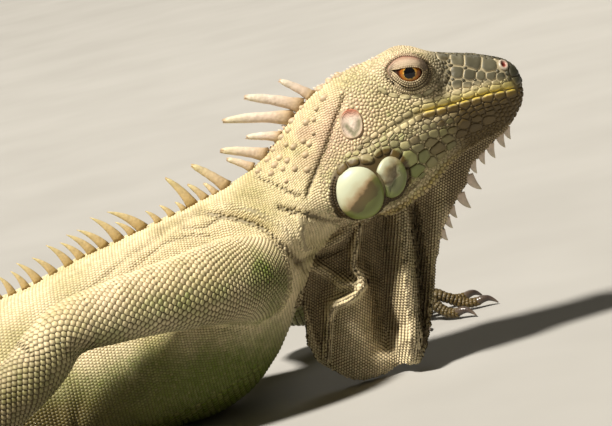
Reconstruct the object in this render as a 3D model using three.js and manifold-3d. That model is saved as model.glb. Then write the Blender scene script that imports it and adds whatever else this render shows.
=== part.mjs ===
// A life-size green iguana (Iguana iguana), an adult male, lying on its belly with its head raised,
// its right foreleg laid back along its side and its left hand set down ahead of the chest.
// Millimetres, +X towards the snout, +Y to the animal's left, +Z up, the floor at z = 0.
import * as THREE from "three";
import { mergeVertices } from "three/addons/utils/BufferGeometryUtils.js";
import Module from "manifold-3d";

const wasm = await Module();
wasm.setup();

// ---- driving sizes -------------------------------------------------------------------------
const GAP = 0.35; // clearance between neighbouring pieces
const FACET = 0.12; // facets flatter than this are merged
const TAIL_START = -172; // where the straight trunk hands over to the curved tail
const TAIL_LENGTH = 870;
const TAIL_END = TAIL_START - TAIL_LENGTH;
const TAIL_SWING = 34; // the tail's greatest heading away from straight back, in degrees
const NECK_TO_TRUNK = 112;
const ROOF_DROP = 0.1; // height share from the midline of the back down to the section's roof point
const KEEL_RISE = 0.12; // height share from the midline of the belly up to the section's jaw point

// Sections of head, neck, trunk and tail. q is x on the straight part and runs on along the tail.
// half is the half-width, at its height share; roof and jaw are width shares near top and bottom.
const SECTIONS = [
  // q, top, bottom, half, at, roof, jaw
  [253, 125.5, 121, 2.2, 0.5, 0.6, 0.6],
  [251.5, 131.5, 115.5, 6.6, 0.46, 0.62, 0.6],
  [247.5, 136.6, 110, 9.8, 0.44, 0.64, 0.6],
  [239, 140.8, 105.8, 12.4, 0.42, 0.66, 0.6],
  [228, 144.6, 102.4, 15, 0.41, 0.66, 0.6],
  [216, 147.6, 97.8, 18, 0.42, 0.68, 0.6],
  [203, 150.5, 91.4, 21.2, 0.42, 0.7, 0.6],
  [190, 150.8, 83.4, 24, 0.38, 0.66, 0.62],
  [178, 149.4, 78.4, 27, 0.34, 0.6, 0.66],
  [166, 146.8, 76.8, 28.6, 0.32, 0.54, 0.7],
  [154, 141.6, 76.5, 27.4, 0.34, 0.48, 0.68],
  [142, 133.2, 68, 25.4, 0.42, 0.42, 0.64],
  [130, 121.5, 52, 27.6, 0.46, 0.4, 0.64],
  [120, 115, 36, 31.5, 0.46, 0.42, 0.66],
  [108, 109.2, 20, 37, 0.44, 0.46, 0.68],
  [92, 104.4, 7, 43, 0.42, 0.48, 0.7],
  [70, 99, 0.2, 47.5, 0.4, 0.5, 0.74],
  [40, 92.6, -1.6, 51.5, 0.38, 0.52, 0.78],
  [0, 82, -2, 55.5, 0.37, 0.54, 0.8],
  [-50, 72.6, -2, 55.5, 0.37, 0.54, 0.8],
  [-95, 64.4, -1.6, 47.5, 0.38, 0.54, 0.78],
  [-130, 56.6, -1.2, 37, 0.4, 0.54, 0.76],
  [-150, 51.4, -1, 30, 0.42, 0.54, 0.74],
  [TAIL_START, 46, -1, 24.2, 0.44, 0.54, 0.72],
  [TAIL_START - 80, 36.4, -0.8, 18.2, 0.44, 0.56, 0.7],
  [TAIL_START - 220, 28, -0.7, 13.4, 0.45, 0.56, 0.7],
  [TAIL_START - 400, 19.6, -0.5, 9.2, 0.46, 0.58, 0.7],
  [TAIL_START - 610, 12, -0.4, 5.8, 0.48, 0.6, 0.7],
  [TAIL_START - 790, 6.4, -0.3, 3.1, 0.5, 0.6, 0.7],
  [TAIL_END, 2.6, -0.2, 1.3, 0.5, 0.6, 0.7],
];

// Swellings on each side of the body: centre, reach along x, y, z, and height.
const SWELLINGS = [
  { name: "brow", centre: [200, 13.5, 151], reach: [13, 8, 8], height: 6 },
  { name: "jowl", centre: [167, 28, 96], reach: [17, 12, 17], height: 3.2 },
  { name: "temple", centre: [180, 20, 140], reach: [12, 8, 10], height: 1.4 },
  { name: "socket", centre: [215, 17, 138], reach: [7, 6, 6], height: -1.8 },
  { name: "snout", centre: [243, 9, 134], reach: [7, 5, 6], height: 1.2 },
];

// Crest spines from the nape to behind the shoulders: place along the back, length, and how far
// the spine leans back from upright to the skin, in degrees.
const FRONT_SPINES = [
  [153.4, 15.6, 21], [147.8, 26.4, 33], [142, 31.6, 39], [134.4, 14.6, 32], [126, 20.4, 38],
  [118.2, 11.6, 30], [104, 18.3, 27], [98, 5.8, 20], [92.6, 9.2, 22], [86, 17.1, 17],
  [81.4, 4, 20], [75.3, 6.4, 24], [68.3, 7, 24], [60.6, 18.4, 40], [54.7, 8.9, 30],
  [48, 16.7, 27], [40.6, 14.7, 32], [34.2, 14.4, 27], [28.4, 12, 24], [22, 13.9, 20],
  [13.8, 12.1, 25], [5.6, 13, 22], [-1, 10, 16], [-8, 10.4, 14],
];
const BACK_SPINE_STEP = 7;
const BACK_SPINE_LENGTH = 12.4;
const CREST_END = TAIL_START - 430;

const EYE = { centre: [201.5, 17.8, 142.6], radius: 8.2 };
const TYMPANUM = { centre: [167.5, 21.6, 126], radii: [6, 2.6, 8.4] };
const SHIELD = { centre: [165.2, 29.6, 94.6], radii: [11.2, 3.6, 12.8] };

// ---- curves and tracks ---------------------------------------------------------------------
const radians = THREE.MathUtils.degToRad;

// A smooth track through rows of numbers: cubic Hermite pieces whose slopes are those of the
// chord between the two neighbouring rows.
function track(rows) {
  const order = rows[0][0] < rows[rows.length - 1][0] ? rows : [...rows].reverse();
  const at = order.map((row) => row[0]);
  const last = order.length - 1;
  const slope = (i, c) => {
    const a = Math.max(0, i - 1);
    const b = Math.min(last, i + 1);
    return (order[b][c] - order[a][c]) / (at[b] - at[a]);
  };
  return (q) => {
    const x = Math.min(Math.max(q, at[0]), at[last]);
    let i = 0;
    while (i < last - 1 && x > at[i + 1]) i += 1;
    const span = at[i + 1] - at[i];
    const t = (x - at[i]) / span;
    const [h0, h1] = [(1 + 2 * t) * (1 - t) ** 2, t * t * (3 - 2 * t)];
    const [g0, g1] = [t * (1 - t) ** 2, t * t * (t - 1)];
    return order[i]
      .slice(1)
      .map((v, c) => h0 * v + h1 * order[i + 1][c + 1]
        + span * (g0 * slope(i, c + 1) + g1 * slope(i + 1, c + 1)));
  };
}

const sectionAt = track(SECTIONS);

// The tail's plan, walked in short steps: its heading swings to the left and back again.
const PLAN_STEP = 5;
const tailPlan = [{ x: TAIL_START, y: 0, heading: 0 }];
for (let d = PLAN_STEP; d <= TAIL_LENGTH + PLAN_STEP; d += PLAN_STEP) {
  const t = d / TAIL_LENGTH;
  const easing = Math.min(1, t / 0.15) ** 2;
  const heading = radians(TAIL_SWING) * Math.sin(1.3 * Math.PI * t) * easing;
  const before = tailPlan[tailPlan.length - 1];
  tailPlan.push({
    x: before.x - PLAN_STEP * Math.cos(heading),
    y: before.y + PLAN_STEP * Math.sin(heading),
    heading,
  });
}

// Where the body's midline lies in plan at q, and its heading away from straight along x.
function planAt(q) {
  if (q >= TAIL_START) return { x: q, y: 0, heading: 0 };
  const d = Math.min((TAIL_START - q) / PLAN_STEP, tailPlan.length - 1.001);
  const [a, b] = [tailPlan[Math.floor(d)], tailPlan[Math.floor(d) + 1]];
  const t = d - Math.floor(d);
  const mix = (key) => a[key] * (1 - t) + b[key] * t;
  return { x: mix("x"), y: mix("y"), heading: mix("heading") };
}

// A place in the body's own frame: q along it, side to its left, z up.
function bodyPoint(q, side, z) {
  const plan = planAt(q);
  return new THREE.Vector3(
    plan.x + side * Math.sin(plan.heading),
    plan.y + side * Math.cos(plan.heading),
    z,
  );
}

// One point of a section: a closed Catmull-Rom curve through top, roof, flank, jaw and keel.
function sectionPoint(q, turn, grow = 0) {
  const [top, bottom, half, at, roof, jaw] = sectionAt(q);
  const height = top - bottom;
  const side = [
    [0, top],
    [roof * half, top - ROOF_DROP * height],
    [half, bottom + at * height],
    [jaw * half, bottom + KEEL_RISE * height],
    [0, bottom],
  ];
  const ring = [...side, ...side.slice(1, 4).reverse().map(([y, z]) => [-y, z])];
  const n = ring.length;
  const place = turn * n;
  const i = Math.floor(place) % n;
  const t = place - Math.floor(place);
  const [a, b, c, d] = [ring[(i + n - 1) % n], ring[i], ring[(i + 1) % n], ring[(i + 2) % n]];
  const value = (k) => 0.5 * (2 * b[k] + (c[k] - a[k]) * t
    + (2 * a[k] - 5 * b[k] + 4 * c[k] - d[k]) * t * t
    + (3 * b[k] - a[k] - 3 * c[k] + d[k]) * t * t * t);
  let [y, z] = [value(0), value(1)];
  const middle = bottom + at * height;
  const out = Math.hypot(y, z - middle) || 1;
  let swell = grow;
  for (const lump of SWELLINGS) {
    const away = [q - lump.centre[0], Math.abs(y) - lump.centre[1], z - lump.centre[2]];
    const share = away.reduce((sum, v, k) => sum + (v / lump.reach[k]) ** 2, 0);
    swell += lump.height * Math.exp(-share);
  }
  y += (swell * y) / out;
  z += (swell * (z - middle)) / out;
  return bodyPoint(q, y, z);
}

// ---- solids --------------------------------------------------------------------------------
function toSolid(geometry) {
  const plain = geometry.index ? geometry.toNonIndexed() : geometry.clone();
  plain.deleteAttribute("normal");
  plain.deleteAttribute("uv");
  const merged = mergeVertices(plain, 1e-4);
  return new wasm.Manifold(new wasm.Mesh({
    numProp: 3,
    vertProperties: merged.attributes.position.array,
    triVerts: new Uint32Array(merged.index.array),
  }));
}

function toGeometry(solid) {
  const mesh = solid.getMesh();
  const places = new Float32Array(mesh.numVert * 3);
  for (let i = 0; i < mesh.numVert; i += 1) {
    places.set(mesh.vertProperties.subarray(i * mesh.numProp, i * mesh.numProp + 3), i * 3);
  }
  const geometry = new THREE.BufferGeometry();
  geometry.setAttribute("position", new THREE.BufferAttribute(places, 3));
  geometry.setIndex(new THREE.BufferAttribute(new Uint32Array(mesh.triVerts), 1));
  geometry.computeVertexNormals();
  return geometry;
}

// A closed solid over rings of equal counts, each end shut by a fan to the ring's own middle.
function ringSolid(rings) {
  const n = rings[0].length;
  const points = rings.flat();
  const faces = [];
  for (let r = 0; r < rings.length - 1; r += 1) {
    for (let i = 0; i < n; i += 1) {
      const [a, b] = [r * n + i, r * n + ((i + 1) % n)];
      faces.push(a, b, a + n, b, b + n, a + n);
    }
  }
  [0, rings.length - 1].forEach((r, which) => {
    const middle = rings[r].reduce((sum, p) => sum.add(p), new THREE.Vector3()).divideScalar(n);
    const centre = points.push(middle) - 1;
    for (let i = 0; i < n; i += 1) {
      const [a, b] = [r * n + i, r * n + ((i + 1) % n)];
      faces.push(...(which ? [a, b, centre] : [b, a, centre]));
    }
  });
  let volume = 0;
  for (let f = 0; f < faces.length; f += 3) {
    const [a, b, c] = [points[faces[f]], points[faces[f + 1]], points[faces[f + 2]]];
    volume += a.dot(b.clone().cross(c));
  }
  if (volume < 0) faces.reverse();
  const geometry = new THREE.BufferGeometry().setFromPoints(points);
  geometry.setIndex(faces);
  return toSolid(geometry);
}

function evenSteps(from, to, step) {
  const count = Math.max(1, Math.round(Math.abs(to - from) / step));
  return Array.from({ length: count + 1 }, (_, i) => from + ((to - from) * i) / count);
}

function bodySolid(stops, around, grow = 0) {
  const turns = evenSteps(0, 1, 1 / around).slice(0, around);
  return ringSolid(stops.map((q) => turns.map((turn) => sectionPoint(q, turn, grow))));
}

// Everything on the side of a plane that its normal points to, as one large box.
const WORLD = 3000;
function halfSpace(point, normal) {
  const box = new THREE.BoxGeometry(WORLD, WORLD, WORLD);
  box.translate(0, 0, WORLD / 2);
  const turn = new THREE.Quaternion().setFromUnitVectors(
    new THREE.Vector3(0, 0, 1),
    normal.clone().normalize(),
  );
  box.applyQuaternion(turn);
  box.translate(point.x, point.y, point.z);
  return toSolid(box);
}

// The two sides of a thin cut.
function parted(solid, point, normal) {
  const unit = normal.clone().normalize().multiplyScalar(GAP / 2);
  const ahead = halfSpace(point.clone().add(unit), normal);
  const behind = halfSpace(point.clone().sub(unit), normal.clone().negate());
  return [solid.intersect(ahead), solid.intersect(behind)];
}

const underFloor = halfSpace(new THREE.Vector3(0, 0, 0), new THREE.Vector3(0, 0, -1));

// A limb: a smooth path through its stations, each a place with a half-width and a half-height.
function limbRings(stations, count, around) {
  const curve = new THREE.CatmullRomCurve3(
    stations.map((s) => new THREE.Vector3(...s.at)),
    false,
    "centripetal",
  );
  const size = track(stations.map((s, i) => [i, s.wide, s.high]));
  return evenSteps(0, 1, 1 / count).map((t) => {
    const [wide, high] = size(t * (stations.length - 1));
    const middle = curve.getPoint(t);
    const ahead = curve.getTangent(t);
    const side = new THREE.Vector3(0, 0, 1).cross(ahead).normalize();
    const up = ahead.clone().cross(side);
    return evenSteps(0, 1, 1 / around).slice(0, around).map((turn) => middle.clone()
      .addScaledVector(side, wide * Math.cos(2 * Math.PI * turn))
      .addScaledVector(up, high * Math.sin(2 * Math.PI * turn)));
  });
}

const limbSolid = (stations, count, around) => ringSolid(limbRings(stations, count, around));

function ellipsoid(centre, radii, across, up) {
  const ball = new THREE.SphereGeometry(1, across, up);
  ball.rotateX(Math.PI / 2);
  ball.scale(...radii);
  ball.translate(...centre);
  return toSolid(ball);
}

// ---- crest ---------------------------------------------------------------------------------
// Every spine of the crest: its place along the back, its length, lean and width at the root.
function crestSpines() {
  const spine = (q, length, lean) => ({ q, length, lean, root: Math.min(7, 2.4 + 0.17 * length) });
  const all = FRONT_SPINES.map((row) => spine(...row));
  let q = FRONT_SPINES[FRONT_SPINES.length - 1][0] - BACK_SPINE_STEP;
  for (let i = 0; q > CREST_END; i += 1) {
    const along = Math.max(0, (TAIL_START + 60 - q) / (TAIL_START + 60 - CREST_END));
    const ripple = 1 + 0.1 * Math.sin(2.4 * i) + 0.06 * Math.sin(5.1 * i);
    all.push(spine(q, BACK_SPINE_LENGTH * ripple * (1 - 0.8 * along), 22 + 6 * Math.sin(1.7 * i)));
    q -= BACK_SPINE_STEP * (1 + 0.9 * along);
  }
  return all;
}

// A spine's bent middle line at share t, leaning further back towards its tip.
const SPINE_BEND = 34;
const CREST_RIDGE = 0.8; // the low ridge that joins the spines at their roots
function spinePoint(spine, t, across) {
  const near = 1.5;
  const rise = sectionAt(spine.q + near)[0] - sectionAt(spine.q - near)[0];
  const slope = Math.atan2(rise, 2 * near);
  const steps = 8;
  let [x, z] = [spine.q, sectionAt(spine.q)[0] + CREST_RIDGE];
  let lean = 0;
  for (let i = 0; i < steps; i += 1) {
    lean = slope + radians(spine.lean + SPINE_BEND * ((t * (i + 0.5)) / steps - 0.5));
    x -= (Math.sin(lean) * spine.length * t) / steps;
    z += (Math.cos(lean) * spine.length * t) / steps;
  }
  return [x + across * Math.cos(lean), z + across * Math.sin(lean)];
}

// The spines of one stretch, as one thin comb that is rooted under the back.
const COMB_THICKNESS = 2.2;
const COMB_ROOT = 3.2;
const BENT_FROM = 11; // spines longer than this are drawn bent, the rest straight
function comb(own) {
  const outline = [];
  own.forEach((spine) => {
    const half = spine.root / 2;
    outline.push(spinePoint(spine, 0, half));
    if (spine.length > BENT_FROM) outline.push(spinePoint(spine, 0.52, half * 0.7));
    outline.push(spinePoint(spine, 1, 0));
    if (spine.length > BENT_FROM) outline.push(spinePoint(spine, 0.52, -half * 0.7));
    outline.push(spinePoint(spine, 0, -half));
  });
  [...own].reverse().forEach((spine, i) => {
    const edge = i === 0 || i === own.length - 1;
    if (edge || i % 3 === 0) outline.push([spine.q, sectionAt(spine.q)[0] - COMB_ROOT]);
  });
  const shape = new THREE.Shape(outline.map(([x, z]) => new THREE.Vector2(x, z)));
  const plate = new THREE.ExtrudeGeometry(shape, { depth: COMB_THICKNESS, bevelEnabled: false });
  const places = plate.getAttribute("position");
  for (let i = 0; i < places.count; i += 1) {
    const side = places.getZ(i) - COMB_THICKNESS / 2;
    const point = bodyPoint(places.getX(i), side, places.getY(i));
    places.setXYZ(i, point.x, point.y, point.z);
  }
  const solid = toSolid(plate);
  return solid.volume() > 0 ? solid : toSolid(flipped(plate));
}

function flipped(geometry) {
  const plain = geometry.index ? geometry.toNonIndexed() : geometry;
  const places = plain.getAttribute("position");
  for (let i = 0; i < places.count; i += 3) {
    const [a, b] = [i, i + 1].map((k) => new THREE.Vector3().fromBufferAttribute(places, k));
    places.setXYZ(i, b.x, b.y, b.z);
    places.setXYZ(i + 1, a.x, a.y, a.z);
  }
  return plain;
}

const spines = crestSpines();
const combBetween = (low, high) => comb(spines.filter((s) => s.q > low && s.q <= high));

// ---- head, neck, trunk and tail ------------------------------------------------------------
const HEAD_STOPS = [253, 251.5, 248.5, 243, 235, 226, 216, 206, 197, 188, 178, 168];
const TRUNK_STOPS = [160, 152, 144, 136, 128, 119, 108, 94, 78, 58, 34, 4, -30, -62, -92, -118,
  -142, TAIL_START];
const BODY_STOPS = [...HEAD_STOPS, ...TRUNK_STOPS];
const BODY_AROUND = 16;
const TAIL_AROUND = 8;
const TAIL_STEP = 34;

const body = bodySolid(BODY_STOPS, BODY_AROUND);
const bodyGrown = bodySolid(BODY_STOPS, BODY_AROUND, GAP);

const flatCut = (q) => [bodyPoint(q, 0, 0), new THREE.Vector3(1, 0, 0)];
const NAPE = new THREE.Vector3(164, 0, 150);
const THROAT = new THREE.Vector3(151, 0, 76);
const headPlane = THROAT.clone().sub(NAPE).cross(new THREE.Vector3(0, 1, 0)).negate();
if (headPlane.x < 0) headPlane.negate();

const [headWhole, behindHead] = parted(body, NAPE, headPlane);
const [neckPlain, trunkPlain] = parted(behindHead, ...flatCut(NECK_TO_TRUNK));

// The lower jaw is all of the head that lies under the closed mouth and, behind it, the jowl.
const MOUTH = [
  [262, 121.8], [250, 123], [236, 124.6], [221, 124.8], [205, 124.2], [191, 121.2], [180, 116.4],
  [166, 111], [140, 106],
];
function jawWedge(raise) {
  const outline = MOUTH.map(([x, z]) => new THREE.Vector2(x, z + raise));
  outline.push(new THREE.Vector2(140, 60), new THREE.Vector2(262, 60));
  const wedge = new THREE.ExtrudeGeometry(new THREE.Shape(outline), {
    depth: 100,
    bevelEnabled: false,
  });
  wedge.rotateX(Math.PI / 2);
  wedge.translate(0, 50, 0);
  return toSolid(wedge);
}

const sides = [["right", -1], ["left", 1]];
const mirrored = (centre, sign) => [centre[0], centre[1] * sign, centre[2]];

let head = headWhole.subtract(jawWedge(GAP / 2));
let jaw = headWhole.intersect(jawWedge(-GAP / 2));
const faceParts = [];
for (const [side, sign] of sides) {
  const eyeRoom = ellipsoid(mirrored(EYE.centre, sign), Array(3).fill(EYE.radius + GAP), 10, 7);
  const drumRoom = ellipsoid(mirrored(TYMPANUM.centre, sign),
    TYMPANUM.radii.map((r) => r + GAP), 10, 5);
  const shieldRoom = ellipsoid(mirrored(SHIELD.centre, sign),
    SHIELD.radii.map((r) => r + GAP), 12, 6);
  head = head.subtract(eyeRoom).subtract(drumRoom);
  jaw = jaw.subtract(shieldRoom);
  const ball = ellipsoid(mirrored(EYE.centre, sign), Array(3).fill(EYE.radius), 10, 7);
  const drum = ellipsoid(mirrored(TYMPANUM.centre, sign), TYMPANUM.radii, 10, 5);
  const plate = ellipsoid(mirrored(SHIELD.centre, sign), SHIELD.radii, 12, 6);
  faceParts.push([`eye_${side}`, ball], [`tympanum_${side}`, drum], [`jowl_shield_${side}`, plate]);
}

const neck = neckPlain.add(combBetween(NECK_TO_TRUNK, 160));
const trunk = trunkPlain.add(combBetween(TAIL_START + 2, NECK_TO_TRUNK)).subtract(underFloor);

const TAIL_CUTS = [TAIL_START, TAIL_START - 190, TAIL_START - 400, TAIL_START - 630, TAIL_END];
const tailPieces = TAIL_CUTS.slice(0, -1).map((from, i) => {
  const to = TAIL_CUTS[i + 1];
  const lastPiece = i === TAIL_CUTS.length - 2;
  const stops = evenSteps(from - GAP, lastPiece ? to : to + GAP / 4, TAIL_STEP);
  const plain = bodySolid(stops, TAIL_AROUND);
  const own = spines.filter((s) => s.q <= from && s.q - s.length > to);
  return (own.length ? plain.add(comb(own)) : plain).subtract(underFloor);
});

// ---- dewlap --------------------------------------------------------------------------------
// A thin folded fan of skin under the chin and throat. Its upper line runs up inside the jaw and
// neck, its lower line is the free edge, and both are smooth curves from front to back.
const DEWLAP_UPPER = [
  [246, 109], [240, 108], [232, 107], [226, 106], [220, 104], [213, 101], [206, 99], [199, 96],
  [190, 92], [182, 90], [177, 89], [171, 88], [166, 86], [160, 85], [154, 84], [148, 82],
  [143, 78], [139, 73], [137, 69], [135.5, 66], [134.5, 64], [134, 62.5],
];
const DEWLAP_LOWER = [
  [241, 103], [234.4, 99.8], [226.4, 94.4], [220.2, 90], [217, 82.4], [209, 74.4], [200.4, 64.4],
  [193.6, 49.3], [188.4, 32.4], [184, 19], [180, 7.5], [174.8, 3.6], [168.2, 4.6], [162, 2.6],
  [157, 1], [151, 0.8], [142, 2.6], [134, 8.6], [127.6, 14.2], [124.5, 24], [126, 37],
  [131, 58],
];
const DEWLAP_THICKNESS = 2;
const planeCurve = (points) => new THREE.SplineCurve(
  points.map(([x, z]) => new THREE.Vector2(x, z)),
);
const upperLine = planeCurve(DEWLAP_UPPER);
const lowerLine = planeCurve(DEWLAP_LOWER);

// Soft spikes that hang from the fan's front edge: root x and z, length, and lean ahead of down.
const THROAT_SPIKES = [
  [240.4, 103.5, 5, 8], [236.6, 101, 6, 14], [231, 97.6, 6.4, 10], [226, 94.4, 5, 4],
  [221, 91, 5, 10], [218.2, 84.6, 8, 52], [212.2, 77, 7.6, 40], [206.4, 72, 5, 24],
  [203, 67.6, 4.6, 30], [199.4, 62.5, 4.4, 30],
];

// How far a fold carries the fan to one side, growing from the throat to the free edge.
function dewlapFold(u, v) {
  const loose = v * (1.25 - 0.35 * v) * THREE.MathUtils.smoothstep(u, 0.36, 0.52);
  const front = 7 * Math.sin(2 * Math.PI * (1.55 * u + 0.06));
  const pleat = -9 * Math.exp(-(((u - 0.36 - 0.05 * v) / 0.085) ** 2));
  const lobe = -8 * Math.exp(-(((u - 0.78 + 0.1 * v) / 0.14) ** 2));
  return loose * (0.55 * front + pleat + lobe);
}

function dewlapPoint(u, v) {
  const a = upperLine.getPoint(u);
  const b = lowerLine.getPoint(u);
  const drop = v;
  return new THREE.Vector3(
    a.x + (b.x - a.x) * drop,
    dewlapFold(u, v),
    Math.max(1, a.y + (b.y - a.y) * drop),
  );
}

function dewlapSolid() {
  const [across, down] = [DEWLAP_LOWER.length - 1, 4];
  const rings = [];
  for (let i = 0; i <= across; i += 1) {
    const u = i / across;
    const ring = [];
    for (let j = 0; j <= down; j += 1) ring.push([u, j / down, 1]);
    for (let j = down; j >= 0; j -= 1) ring.push([u, j / down, -1]);
    rings.push(ring.map(([a, b, sign]) => {
      const point = dewlapPoint(a, b);
      point.y += (sign * DEWLAP_THICKNESS) / 2;
      return point;
    }));
  }
  return ringSolid(rings);
}

// One flat spike: rooted inside the fan's edge, bent a little towards its tip.
function throatSpike([x, z, length, lean]) {
  const way = (angle) => [Math.sin(radians(angle)), -Math.cos(radians(angle))];
  const [root, tip] = [way(lean - 10), way(lean + 10)];
  const half = 0.8 + 0.16 * length;
  const inside = 1.6;
  const outline = [
    [x - root[0] * inside - root[1] * half, z - root[1] * inside + root[0] * half],
    [x - root[0] * inside + root[1] * half, z - root[1] * inside - root[0] * half],
    [x + tip[0] * length, z + tip[1] * length],
  ];
  const shape = new THREE.Shape(outline.map(([a, b]) => new THREE.Vector2(a, b)));
  const thickness = 1.4;
  const plate = new THREE.ExtrudeGeometry(shape, { depth: thickness, bevelEnabled: false });
  plate.rotateX(Math.PI / 2);
  plate.translate(0, thickness / 2, 0);
  return toSolid(plate);
}

const fan = THROAT_SPIKES.reduce((solid, row) => solid.add(throatSpike(row)), dewlapSolid());
const dewlapWhole = fan.subtract(bodyGrown);
const dewlap = dewlapWhole.decompose().sort((a, b) => b.volume() - a.volume())[0];

// ---- legs ----------------------------------------------------------------------------------
// A station of a limb: where it is, its half-width and its half-height.
const st = (x, y, z, wide, high = wide) => ({ at: [x, y, z], wide, high });

const LEGS = {
  foreleg_right: {
    names: ["upper_arm_right", "forearm_right", "hand_right"],
    upper: [st(112, -28, 64, 19, 20), st(98, -44, 69, 19, 20.5), st(74, -60, 71.5, 16.5, 17.5),
      st(46, -71, 72, 15, 15), st(18, -78, 69, 13.6, 13)],
    lower: [st(18, -78, 69, 13.6, 13), st(4, -82, 58, 13.6, 14.4), st(-14, -86.5, 45, 11.4, 12.6),
      st(-31, -91, 31, 8.8, 8.6)],
    palm: [st(-31, -91, 31, 8.8, 8.6), st(-37, -95, 20, 10, 7), st(-45, -101, 7, 12, 6.2),
      st(-50, -106, 4, 11, 4.6)],
    root: [-46, -101, 5],
    heading: -140,
    spread: 10,
  },
  foreleg_left: {
    names: ["upper_arm_left", "forearm_left", "hand_left"],
    upper: [st(110, 22, 62, 17, 18), st(108, 44, 57, 17, 18), st(106, 66, 49, 14.6, 15.4),
      st(104, 86, 40, 13, 13)],
    lower: [st(104, 86, 40, 13, 13), st(116, 96, 32, 12.6, 13.4), st(133, 107, 22, 10.6, 11),
      st(149, 115, 13, 8.4, 8)],
    palm: [st(149, 115, 13, 8.4, 8), st(156, 117, 10, 9.6, 6.8), st(166, 119, 6.6, 12, 5.8),
      st(174, 119, 4.2, 11, 4.4)],
    root: [168, 119, 5],
    heading: -2,
    spread: 10,
    arch: 4,
  },
  hindleg_right: {
    names: ["thigh_right", "shank_right", "foot_right"],
    upper: [st(-142, -14, 34, 18, 19), st(-136, -36, 35, 19, 20), st(-124, -60, 34, 17.4, 19),
      st(-112, -80, 31, 14, 15.6), st(-109, -88, 28, 12.6, 13.6)],
    lower: [st(-109, -88, 28, 12.6, 13.6), st(-120, -98, 25, 12.4, 13.6),
      st(-144, -109, 18, 10, 11), st(-168, -117, 11, 7.6, 7.8)],
    palm: [st(-168, -117, 11, 7.6, 7.8), st(-166, -124, 8, 8.6, 6.6), st(-157, -133, 5.6, 10.4, 5.4),
      st(-149, -140, 4.2, 11, 4.4)],
    root: [-154, -136, 4.6],
    heading: -42,
    spread: 12,
    hind: true,
  },
  hindleg_left: {
    names: ["thigh_left", "shank_left", "foot_left"],
    upper: [st(-140, 14, 34, 18, 19), st(-128, 36, 35, 19, 20), st(-110, 60, 34, 17.4, 19),
      st(-94, 79, 31, 14, 15.6), st(-90, 87, 28, 12.6, 13.6)],
    lower: [st(-90, 87, 28, 12.6, 13.6), st(-99, 97, 25, 12.4, 13.6), st(-122, 110, 18, 10, 11),
      st(-146, 118, 11, 7.6, 7.8)],
    palm: [st(-146, 118, 11, 7.6, 7.8), st(-143, 124, 8, 8.6, 6.6), st(-132, 132, 5.6, 10.4, 5.4),
      st(-122, 137, 4.2, 11, 4.4)],
    root: [-128, 134, 4.6],
    heading: 26,
    spread: 12,
    hind: true,
  },
};

// Digits fan out from the palm. A hand's third is its longest, a foot's fourth.
const HAND_DIGITS = [[62, 23, 3.6], [30, 32, 3.7], [4, 38, 3.7], [-24, 36, 3.6], [-58, 27, 3.4]];
const FOOT_DIGITS = [[50, 24, 3.8], [24, 38, 3.9], [6, 52, 4], [-12, 66, 4], [-52, 40, 3.7]];
const CLAW_LENGTH = 9;

// A digit and its claw, parted by a thin upright cut across the tip.
function digitAndClaw(leg, sign, [turn, length, radius]) {
  const angle = radians(leg.heading + sign * turn);
  const way = new THREE.Vector3(Math.cos(angle), Math.sin(angle), 0);
  const reach = leg.spread + length;
  const arch = leg.arch ?? 0;
  const out = (d, z, r) => st(leg.root[0] + way.x * d, leg.root[1] + way.y * d, z, r);
  const digit = limbSolid([
    out(0, 5, radius),
    out(leg.spread * 0.6 + 4, 6.2 + 0.6 * arch, radius),
    out(leg.spread + length * 0.42, 7.2 + arch, radius * 0.96),
    out(leg.spread + length * 0.78, 4.2, radius * 0.86),
    out(reach + 2, 3, radius * 0.74),
  ], 4, 5);
  const claw = limbSolid([
    out(reach - 1, 3.1, radius * 0.66),
    out(reach + CLAW_LENGTH * 0.5, 3.9, radius * 0.44),
    out(reach + CLAW_LENGTH, 1, 0.3),
  ], 2, 4);
  const tip = new THREE.Vector3(...out(reach, 3, 0).at);
  return [parted(digit, tip, way)[1], parted(claw, tip, way)[0]];
}

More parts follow.
